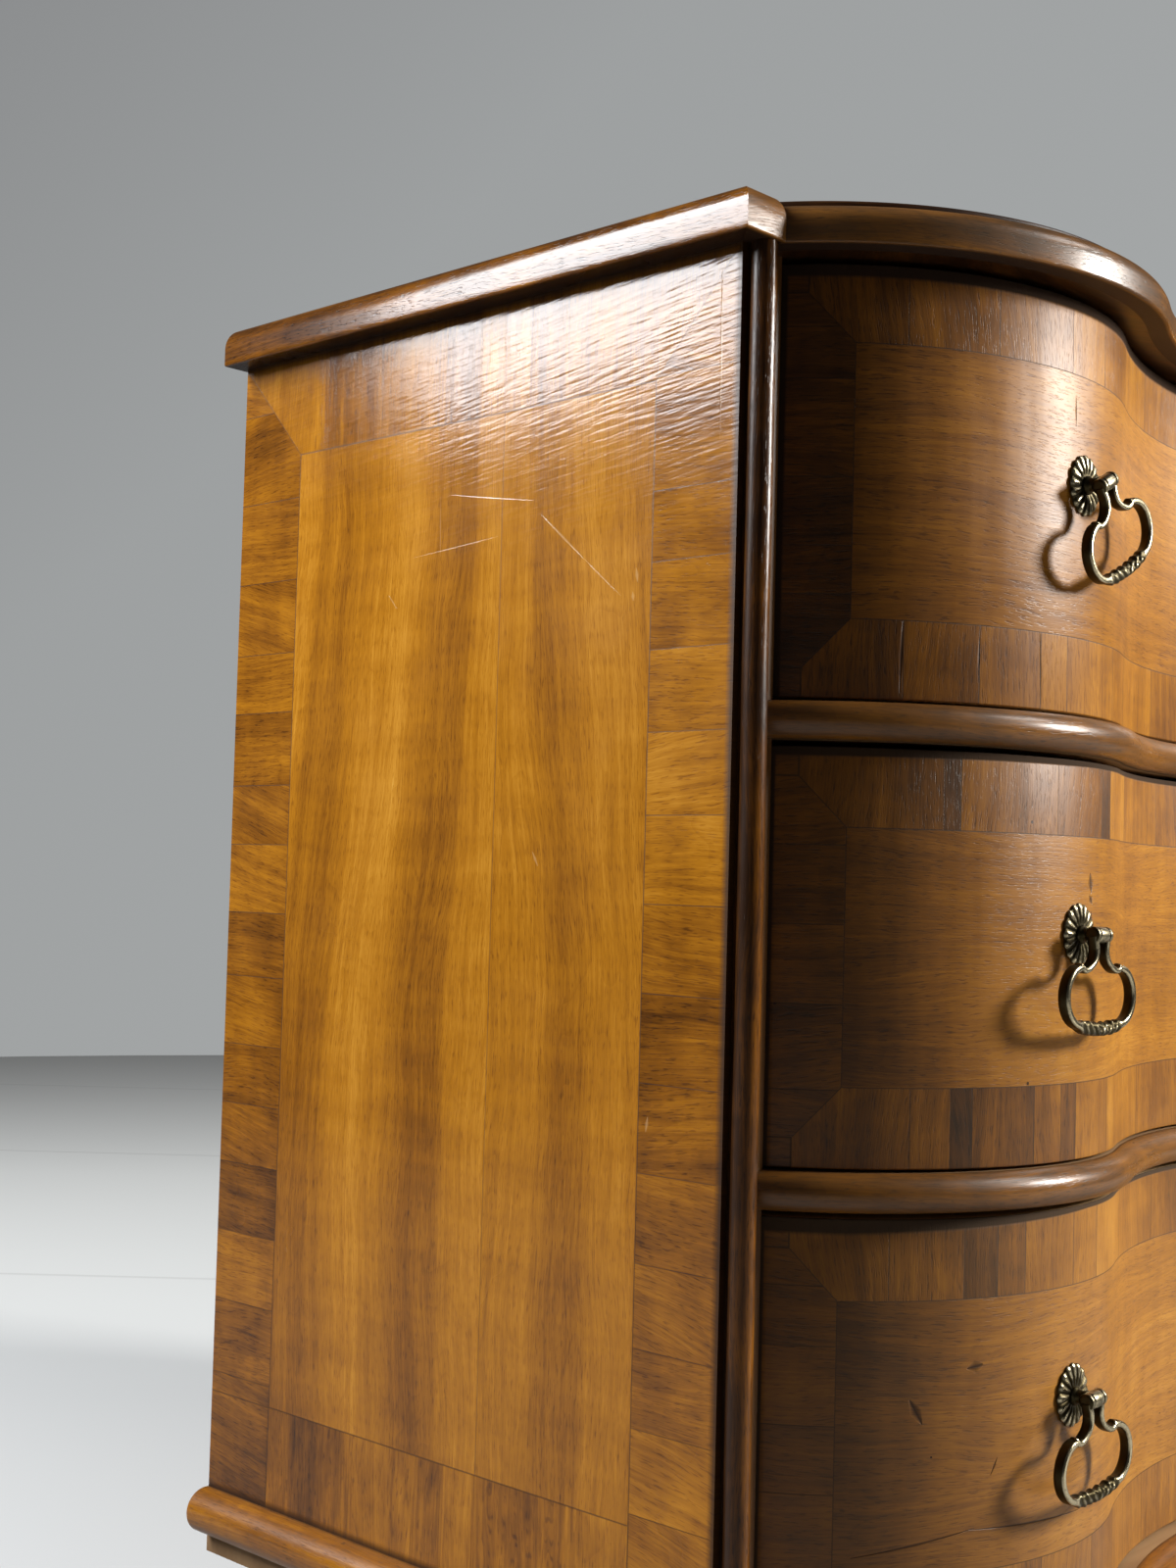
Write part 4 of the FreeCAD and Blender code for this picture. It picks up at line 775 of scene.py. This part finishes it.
DRAWER_HALF, DRAWER_END_Y = HALF - 0.031, EDGE_Y + 0.03
DRAWER_THICK, DRAWER_EDGE = 0.022, 0.0008
END_BAND, LEVEL_BAND, BLOCK_SHARE, ROW_LENGTH = 0.0363, 0.038, 0.37, 0.38
FACE_LENGTH = float(serpentine(0.0, DRAWER_HALF, DRAWER_END_Y)[1][-1])


def drawer_veneer(number, low, high, ends, above, below, holes, cracks, gap, faded, shade):
    """ends, above and below hold the border pieces as (where each starts, tone), cracks as strokes in the face, gap how
    far the painted shade beside the bead reaches, shade how far down the painted shadow under the nosing reaches at the
    ends and at the crest, and faded how much the polish has bloomed. The mitres stop at a small square block."""
    material, bench = new_material("drawer_%d_veneer" % number)
    u, _ = bench.run()
    height = bench.split(bench.place())[2]
    from_end, from_top, from_low = FACE_LENGTH - abs(u), high - height, height - low
    end_share, level_share = from_end / END_BAND, bench.least(from_top, from_low) / LEVEL_BAND
    bands = bench.group(banding, Side=end_share, End=level_share)
    in_field, in_border = bands["Field"], 1.0 - bands["Field"]
    block_share = bench.most(end_share, level_share)
    outside = block_share > BLOCK_SHARE
    block_line = bench.line(block_share - BLOCK_SHARE, 0.008, 0.016)
    in_level = bands["Ends"] * outside
    end_tone, end_joint = veneer_pieces(bench, height, low - 0.01, high + 0.01, ends)
    above_tone, above_joint = veneer_pieces(bench, from_end, 0.0, ROW_LENGTH, above)
    below_tone, below_joint = veneer_pieces(bench, from_end, 0.0, ROW_LENGTH, below)
    is_above = from_top < from_low
    band_tone = bench.choose(in_level, end_tone, bench.choose(is_above, below_tone, above_tone))
    band_joint = bench.choose(in_level, end_joint, bench.choose(is_above, below_joint, above_joint))
    waver = bench.noise(bench.vector(u * 5.0, height * 9.0, float(number)), detail=3.0)
    # Painted shade: the field is darkened towards both ends of the front, where the lobes turn away from the light.
    field_tone = bench.between(waver, 0.3, 0.7, 0.56, 0.76) + bench.between(from_end, 0.03, 0.17, -0.34, 0.0, soft=True)
    joint = bench.choose(in_field, band_joint, 0.0)
    lean = in_border * leaning(bench, band_tone, 0.5, 0.25)
    # Painted shadow and shade: a dark strip along the top of the face, deepest at the ends, for the shadow cast by the
    # nosing or moulding above, and a dark strip at each end beside the bead; both also raise the roughness.
    under = bench.between(from_end, 0.04, 0.19, shade[0], shade[1])
    dirt_and_painted_shade = bench.most(bench.between(from_top / under, 0.82, 1.08, 0.97, 0.0),
                      bench.between(from_end, gap * 0.8, gap * 1.15, 0.95, 0.0))
    line = bench.most(bench.most(bands["Line"], bands["Mitre"] * outside, joint, block_line) * 0.75, dirt_and_painted_shade)
    wood = bench.group(
        walnut, Along=bench.choose(in_level, u, height), Across=bench.choose(in_level, height, u),
        Leaf=band_tone * in_border + number * 0.31, Lean=lean, Tone=bench.choose(in_field, band_tone, field_tone),
        Contrast=in_border * 0.10 + 0.22, Smudge=in_border * 0.3 + 0.15, Line=line)
    damage = strokes(bench, u, height, cracks, bench.group(wormed, U=u, V=height, Density=holes)["Mask"])
    bloomed = bench.blend(faded, wood["Color"], (0.50, 0.37, 0.24, 1))
    colour = bench.blend(damage * 0.9, bloomed, (0.02, 0.008, 0.004, 1))
    buckle = bench.noise(bench.vector(u * 46.0, height * 9.0, number + 0.5), detail=1.5)
    surface = buckle * 4.0 + (wood["Height"] - damage * 2.0)
    polish(bench, colour, dirt_and_painted_shade * 0.45 + (wood["Roughness"] + 0.19), surface, shine=0.28)
    return material


def at(from_left_end):
    """Distance from the middle of a face that is counted from its left end."""
    return from_left_end - FACE_LENGTH


DRAWER_PIECES = {
    1: dict(ends=[(0.5355, 0.15), (0.595, 0.24), (0.618, 0.17), (0.651, 0.25), (0.698, 0.20), (0.723, 0.26)],
            above=[(0.0, 0.32), (0.061, 0.40), (0.11, 0.50), (0.162, 0.66), (0.196, 0.58), (0.243, 0.66), (0.30, 0.56)],
            below=[(0.0, 0.30), (0.061, 0.42), (0.102, 0.54), (0.140, 0.66), (0.161, 0.62), (0.216, 0.58), (0.25, 0.66),
                   (0.32, 0.54)],
            holes=0.035, gap=0.0036, faded=0.02, shade=(0.0065, 0.0060),
            cracks=[(at(0.0615), 0.583, at(0.0605), 0.549, 0.0011), (at(0.140), 0.583, at(0.141), 0.548, 0.0009),
                    (at(0.102), 0.582, at(0.1015), 0.556, 0.0008), (at(0.166), 0.705, at(0.1665), 0.69, 0.0008)]),
    2: dict(ends=[(0.3145, 0.36), (0.361, 0.28), (0.401, 0.38), (0.438, 0.30), (0.476, 0.35)],
            above=[(0.0, 0.38), (0.084, 0.16), (0.093, 0.48), (0.155, 0.42), (0.201, 0.24), (0.214, 0.72), (0.26, 0.58),
                   (0.33, 0.50)],
            below=[(0.0, 0.44), (0.069, 0.38), (0.090, 0.18), (0.102, 0.30), (0.140, 0.44), (0.161, 0.36), (0.175, 0.58),
                   (0.214, 0.68), (0.30, 0.54)],
            holes=0.02, gap=0.0024, faded=0.05, shade=(0.0048, 0.0030),
            cracks=[(at(0.187), 0.466, at(0.1885), 0.457, 0.0040), (at(0.1865), 0.455, at(0.1895), 0.4515, 0.0032),
                    (at(0.1885), 0.447, at(0.189), 0.436, 0.0026)]),
    3: dict(ends=[(0.0885, 0.42), (0.174, 0.30), (0.206, 0.48), (0.242, 0.36), (0.27, 0.44)],
            above=[(0.0, 0.50), (0.06, 0.44), (0.099, 0.26), (0.118, 0.40), (0.136, 0.58), (0.174, 0.66), (0.201, 0.72),
                   (0.26, 0.58), (0.33, 0.50)],
            below=[(0.0, 0.50), (0.07, 0.40), (0.11, 0.54), (0.15, 0.60), (0.20, 0.50), (0.25, 0.64), (0.32, 0.52)],
            holes=0.05, gap=0.002, faded=0.10, shade=(0.0075, 0.0022),
            cracks=[(at(0.045), 0.146, at(0.107), 0.1565, 0.0009), (at(0.102), 0.156, at(0.184), 0.1525, 0.0008),
                    (at(0.102), 0.231, at(0.110), 0.2325, 0.0032), (at(0.072), 0.2175, at(0.078), 0.207, 0.0030),
                    (at(0.116), 0.180, at(0.120), 0.188, 0.0009)]),
}


def bare_wood(name, grain_place, tones, soil_scale, soil_detail, stain, roughness, depth):
    """Unpolished wood: tones of its yearly rings, and a stain in the soiled parts, as (where it starts, its share,
    its colour)."""
    material, bench = new_material(name)
    place = bench.place()
    year = bench.noise(bench.vector(*grain_place(*bench.split(place))), detail=4.0, roughness=0.6)
    soil = bench.noise(place, scale=soil_scale, detail=soil_detail)
    colour = bench.ramp(year, list(zip((0.25, 0.5, 0.75), tones)))
    colour = bench.blend(bench.between(soil, stain[0], 0.75, 0.0, stain[1]), colour, stain[2])
    polish(bench, colour, bench.between(soil, 0.3, 0.7, roughness, roughness + 0.2), year + soil, depth=depth)
    return material


LINING = bare_wood("drawer_lining", lambda x, y, z: ((x + y) * 3.0, z * 70.0, y * 2.0),
                   [(0.30, 0.17, 0.075), (0.47, 0.30, 0.14), (0.58, 0.40, 0.21)], 9.0, 4.0,
                   (0.5, 0.45, (0.20, 0.12, 0.06, 1)), 0.55, 0.0003)

edge_turn = np.linspace(0, math.pi / 2, 5)
shoulder_reach = math.hypot(DRAWER_HALF - LOBE_X, LOBE_Y - DRAWER_END_Y) - LOBE_RADIUS
for number, facts in DRAWER_PIECES.items():
    name = "drawer_%d_front" % number
    low, high = np.array(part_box(name)).tolist()
    tall = high[2] - low[2]
    top_edge = arc((-DRAWER_EDGE, tall - DRAWER_EDGE), DRAWER_EDGE, edge_turn)
    upper_half = np.concatenate([top_edge, [(shoulder_reach, tall), (-DRAWER_THICK, tall)]])
    section = np.concatenate([upper_half, upper_half[::-1] * (1, -1) + (0, tall)])
    rings, walked = follow_serpentine(0.0, section, DRAWER_HALF, DRAWER_END_Y, low[2])
    outer = [n for n, point in enumerate(section) if point[0] >= shoulder_reach - 1e-6]
    rear = [n for n, point in enumerate(section) if point[0] <= shoulder_reach + 1e-6]
    kind = np.ones(len(section), dtype=int)
    kind[:len(edge_turn) - 1] = kind[-len(edge_turn):] = 0
    skin = closed_skin(rings, walked, finish=kind, end_splits=[outer, rear])
    new_piece(name + "_veneered", [skin], [drawer_veneer(number, low[2], high[2], **facts), LINING],
              "drawer_%d" % number, [name])
    dress(LINING, *("drawer_%d_%s" % (number, part) for part in ("side_left", "side_right", "back", "bottom")))


# Carcass: pine boards that show only when a drawer is out, from behind or from below.
# They are planed, unpolished and brown with age.

CARCASS = bare_wood("carcass_pine", lambda x, y, z: (x * 2.5, y * 40.0, z * 14.0),
                    [(0.21, 0.115, 0.048), (0.34, 0.20, 0.09), (0.44, 0.29, 0.14)], 7.0, 5.0,
                    (0.45, 0.6, (0.13, 0.075, 0.036, 1)), 0.6, 0.0004)
dress(CARCASS, "back_panel", "base_board", "batten_back", "batten_front", "batten_left", "batten_right", "upper_divider",
      "lower_divider", "upper_runners", "lower_runners")
dress(NOSING, "front_stile_left", "front_stile_right")


# Handles: cast brass, dark with age and rubbed bright on its high places.
# A fluted oval plate lies on the crest of each lobe, and a bolt through it carries the swinging bail on an eye.

BRASS, bench = new_material("aged_brass")
dirt_and_painted_shade = bench.noise(bench.place(), scale=260.0, detail=4.0, roughness=0.6)
rubbed = bench.between(bench.wear() + (dirt_and_painted_shade - 0.5) * 0.9, 0.48, 1.0)
brass_colour = bench.blend(rubbed, (0.052, 0.041, 0.019, 1), (0.54, 0.47, 0.31, 1))
brass_colour = bench.blend(bench.between(dirt_and_painted_shade, 0.58, 0.75, 0.0, 0.7), brass_colour, (0.035, 0.028, 0.016, 1))
bench.add("ShaderNodeOutputMaterial", {"Surface": bench.out("ShaderNodeBsdfPrincipled", 0, {
    "Base Color": brass_colour, "Metallic": 1.0, "Roughness": bench.between(rubbed, 0.0, 1.0, 0.42, 0.22),
    "Normal": bench.out("ShaderNodeBump", 0, {"Height": dirt_and_painted_shade, "Strength": 0.6, "Distance": 0.00012})})})

PLATE_HALF_WIDTH, PLATE_HALF_HEIGHT, FLUTES = 0.0142, 0.0155, 16
CREST_Y = LOBE_Y - LOBE_RADIUS


def plate_skin(centre_x, centre_z):
    """A fluted plate in polar rings: at share s of the way from the middle and angle t the point lies s r(t) out,
    where r is the oval's radius drawn in between flutes, and its height is a low dome plus a rib on each flute that
    dies at the middle."""
    turn = np.linspace(0, math.tau, FLUTES * 12, endpoint=False)
    rib = np.abs(np.cos(turn * FLUTES / 2)) ** 0.8
    s = np.concatenate([[0.02, 0.2, 0.3], np.linspace(0.36, 0.94, 14), [0.975, 1.0, 1.0]])[:, None]
    dome = 0.0009 + 0.0012 * np.cos(s * math.pi / 2) ** 0.7
    out = s * (1 + 0.07 * (rib - 1) * s ** 3)
    flute = 0.0009 * rib * np.clip((s - 0.28) / 0.3, 0, 1) * np.clip((1.02 - s) / 0.12, 0, 1)
    y = CREST_Y - dome - flute
    worn = np.clip(rib * 1.3 - 0.35, 0, 1) * np.clip((s - 0.3) / 0.4, 0, 1)
    y[-1], worn[-1] = CREST_Y, 0
    x, z = centre_x + PLATE_HALF_WIDTH * out * np.sin(turn), centre_z + PLATE_HALF_HEIGHT * out * np.cos(turn)
    return closed_skin(np.stack([x, y, z], axis=2), wear=worn)


# Profiles of the bolt's post and eye, as (distance along the axis, radius), each with the wear of its points

POST = [(-0.026, 0.0003), (-0.026, 0.0025), (0.0019, 0.0025), (0.0019, 0.0045), (0.0026, 0.0048), (0.0034, 0.0046),
        (0.0040, 0.0039), (0.0048, 0.0034), (0.0062, 0.0032), (0.0078, 0.0034), (0.0092, 0.0038), (0.0120, 0.0039),
        (0.0120, 0.0003)]
POST_WEAR = [0, 0, 0, 0.1, 0.5, 0.4, 0.1, 0.1, 0.1, 0.2, 0.3, 0.4, 0.4]
EYE = [(-0.0045, 0.0015), (-0.0045, 0.0033), (-0.0044, 0.0037), (-0.0041, 0.0040), (-0.0036, 0.0041), (0.0, 0.00425),
       (0.0036, 0.0041), (0.0041, 0.0040), (0.0044, 0.0037), (0.0045, 0.0033), (0.0045, 0.0015)]
EYE_WEAR = [0.1, 0.1, 0.5, 0.95, 0.8, 0.7, 0.8, 0.95, 0.5, 0.1, 0.1]
NUT_HALF, NUT_START, NUT_END = 0.005, 0.0222, 0.0262


def turned_skin(centre, axis, side, profile, wear):
    """A small turned piece, with its wear at each point of its profile."""
    return closed_skin(turned_rings(centre, axis, side, profile, 40), wear=np.array(wear)[:, None])


def bolt_skins(pivot, hinge):
    """A turned collar and post out to the eye, the eye across it, and the shank with its square nut inside the drawer."""
    out = (0, -1, 0)
    root = np.array((pivot[0], CREST_Y, pivot[2]))
    square = NUT_HALF * np.array([(-1, -1), (1, -1), (1, 1), (-1, 1)]) @ np.stack([hinge, np.cross(out, hinge)])
    nut = np.stack([root + (0, depth, 0) + square for depth in (NUT_START, NUT_END)])
    return [turned_skin(root, out, (1, 0, 0), POST, POST_WEAR), turned_skin(pivot, hinge, out, EYE, EYE_WEAR),
            closed_skin(nut)]


# The bail's lines and sections, in metres, in its own plane

ELBOW_CENTRE, ELBOW_RADIUS, ELBOW_TURN = (0.0147, -0.009), 0.0075, math.radians(280)
BAIL_LOBE, BAIL_DROP = 0.014, 0.046
BAIL_BAR, BAIL_BAR_HALF, BAIL_BAR_LEVEL, BAIL_HOLLOWS, BLENDED_OVER = 0.0037, 0.018, 0.0385, 5, 0.004
WIRE_PLANE, WIRE_DEPTH, ARM_PLANE, ARM_DEPTH = 0.0018, 0.0030, 0.0016, 0.0029
TIP_LENGTH, ROOT_LENGTH, WIRE_START = 0.0022, 0.012, 0.003
ARM = [(0.0060, -0.0005), (0.0054, -0.0040), (0.0044, -0.0075), (0.0058, -0.0125), (0.0100, -0.0158), (0.0146, -0.0177),
       (0.0184, -0.0168), (0.0190, -0.0140)]
SECTION_TURN = np.linspace(0, math.tau, 44, endpoint=False)


def even_steps(line, count):
    """The line's points moved to equal steps along it."""
    walked = distance_along(line)
    even = np.linspace(0, walked[-1], count)
    return np.stack([np.interp(even, walked, line[:, 0]), np.interp(even, walked, line[:, 1])], axis=1)


def bail_lines():
    """The bail's two middle lines, in its own plane, x along the hinge and z up: the right arm, which leans in under
    its boss and then curls out past the lobe's end, its corners cut four times at a quarter of each side, and the
    lobes with the bar, arcs that meet without a corner."""
    lobe_centre = arc(ELBOW_CENTRE, ELBOW_RADIUS + BAIL_LOBE, np.array([ELBOW_TURN]))[0]
    rise = lobe_centre[1] + BAIL_DROP
    bar_radius = (lobe_centre[0] ** 2 + rise ** 2 - BAIL_LOBE ** 2) / (2 * (rise - BAIL_LOBE))
    bar_centre = (0.0, bar_radius - BAIL_DROP)
    meeting = math.atan2(lobe_centre[1] - bar_centre[1], lobe_centre[0])
    arm = np.array(ARM)
    for _ in range(4):
        cut = np.stack([0.75 * arm[:-1] + 0.25 * arm[1:], 0.25 * arm[:-1] + 0.75 * arm[1:]], axis=1).reshape(-1, 2)
        arm = np.concatenate([arm[:1], cut, arm[-1:]])
    half = np.concatenate([arc(lobe_centre, BAIL_LOBE, np.linspace(math.pi / 2, meeting, 60)),
                           arc(bar_centre, bar_radius, np.linspace(meeting, -math.pi / 2, 40))[1:]])
    return even_steps(arm, 100), even_steps(np.concatenate([half * (-1, 1), half[-2::-1]]), 360)


def cast_band(line, half_plane, half_depth, squareness, carving=0.0):
    """Rings round a line: in the section at angle t the radius is (|cos t / a| ^ p + |sin t / b| ^ p) ^ (-1 / p), a in
    the bail's plane, b across it and p the squareness, and carving is added as a share of it. Also gives how far each
    point is a corner."""
    way = np.gradient(line, axis=0)
    way /= np.linalg.norm(way, axis=1)[:, None]
    inward = np.stack([-way[:, 1], way[:, 0]], axis=1)
    half_plane, half_depth, power = half_plane[:, None], half_depth[:, None], squareness[:, None]
    shape = (np.abs(np.cos(SECTION_TURN) / half_plane) ** power
             + np.abs(np.sin(SECTION_TURN) / half_depth) ** power) ** (-1 / power)
    plane = line[:, None, :] + inward[:, None, :] * (shape * (1 + carving) * np.cos(SECTION_TURN))[:, :, None]
    away = -shape * (1 + 0.5 * np.minimum(carving, 0)) * np.sin(SECTION_TURN)
    corner = np.clip(shape / np.sqrt(half_plane * half_depth) - 1.02, 0, 0.22) / 0.22
    return plane, away, corner


def bail_skins(pivot, hinge):
    """Two arms with round bosses on the hinge, and one band for the lobes and the bar. Along the bar the inner edge is
    cut by hollows, 1 - c |sin|, and leaf ribs, sin (k x + turn), slant over its front."""
    arm, band = bail_lines()
    front = np.clip(np.sin(SECTION_TURN), 0, 1)
    inner = np.clip(np.cos(SECTION_TURN), 0, 1) ** 0.5
    outer = np.clip(-np.cos(SECTION_TURN), 0, 1) ** 0.5
    lit = np.clip(np.sin(SECTION_TURN) + 0.3, 0, 1)
    up = np.cross(hinge, (0, 1, 0))
    up = up if up[2] > 0 else -up

    def placed(plane, away):
        """The plane's x lies along the hinge and its y upwards, square to the hinge; away is measured into the drawer."""
        return pivot + plane[..., :1] * hinge + plane[..., 1:] * up + away[..., None] * np.array((0.0, 1.0, 0.0))

    walked = distance_along(arm)
    tip = np.sqrt(np.clip((walked[-1] - walked) / TIP_LENGTH, 0.02, 1))
    root = np.clip(1 - walked / ROOT_LENGTH, 0, 1)
    plane, away, corner = cast_band(arm, (ARM_PLANE + 0.0005 * root) * (0.25 + 0.75 * tip),
                                    (ARM_DEPTH - 0.0003 * root) * (0.4 + 0.6 * tip), np.full(len(arm), 3.4))
    worn = np.clip(0.1 + 0.8 * corner * lit + 0.5 * (1 - tip[:, None]), 0, 1)
    boss = [(0.0004, 0.0002), (0.0004, 0.0013), (0.0047, 0.0013), (0.0047, 0.0038), (0.0050, 0.0041), (0.0066, 0.0041),
            (0.0072, 0.0036), (0.0074, 0.0022), (0.0071, 0.0002)]
    skins = []
    for side in (1, -1):
        skins.append(closed_skin(placed(plane * (side, 1), away), wear=worn))
        skins.append(turned_skin(pivot, hinge * side, (0, -1, 0), boss, [0, 0, 0, 0.3, 0.7, 0.7, 0.35, 0, 0]))

    x, z = band[:, 0], band[:, 1]
    low_part = np.clip((-z - BAIL_BAR_LEVEL) / BLENDED_OVER, 0, 1)
    bar = low_part * np.clip((BAIL_BAR_HALF + BLENDED_OVER / 2 - np.abs(x)) / BLENDED_OVER, 0, 1)
    walked = distance_along(band)
    grown = np.clip(np.minimum(walked, walked[-1] - walked) / WIRE_START, 0, 1)
    half_plane = (WIRE_PLANE + (BAIL_BAR - WIRE_PLANE) * bar) * (0.75 + 0.25 * grown)
    half_plane = half_plane + 0.0003 * np.exp(-((np.abs(x) - 0.0195) / 0.0022) ** 2) * low_part
    half_depth, squareness = WIRE_DEPTH - 0.0002 * bar, 3.6 - 1.2 * bar
    along, bar = x[:, None] / BAIL_BAR_HALF, bar[:, None]
    hollows = np.abs(np.sin(math.pi * BAIL_HOLLOWS * (along + 1) / 2))
    ribs = np.sin(math.pi * 6.5 * np.abs(along) + 2.6 * SECTION_TURN)
    ribs = ribs * (0.65 + 0.35 * np.sin(math.pi * 5.2 * along - 3 * SECTION_TURN))
    carving = bar * (-0.30 * hollows * inner - 0.06 * hollows * outer + 0.12 * ribs * front ** 0.5)
    plane, away, corner = cast_band(band, half_plane, half_depth, squareness, carving)
    worn = (0.12 + 0.8 * corner * lit + 0.26 * front ** 2 * (0.4 + bar)
            - 0.30 * bar * hollows * inner + 0.40 * bar * ribs * front)
    return skins + [closed_skin(placed(plane, away - 0.00055 * bar * ribs * front), wear=np.clip(worn, 0, 1))]


hinges = {joint["child"]: joint for joint in frame["joints"] if joint["child"].startswith("bail")}
for number in (1, 2, 3):
    plates, bolts = [], []
    for label in ("left", "right"):
        name = "bail_%d_%s" % (number, label)
        pivot, hinge = np.array(hinges[name]["pos_m"]), -np.array(hinges[name]["axis"])
        plates.append(plate_skin(pivot[0], pivot[2]))
        bolts += bolt_skins(pivot, hinge)
        new_piece(name + "_cast", bail_skins(pivot, hinge), [BRASS], name, [name], sharp=60)
    body = "drawer_%d" % number
    new_piece("plates_%d_cast" % number, plates, [BRASS], body, ["handle_plates_%d" % number], sharp=60)
    new_piece("bolts_%d_turned" % number, bolts, [BRASS], body, ["handle_bolts_%d" % number], sharp=40)
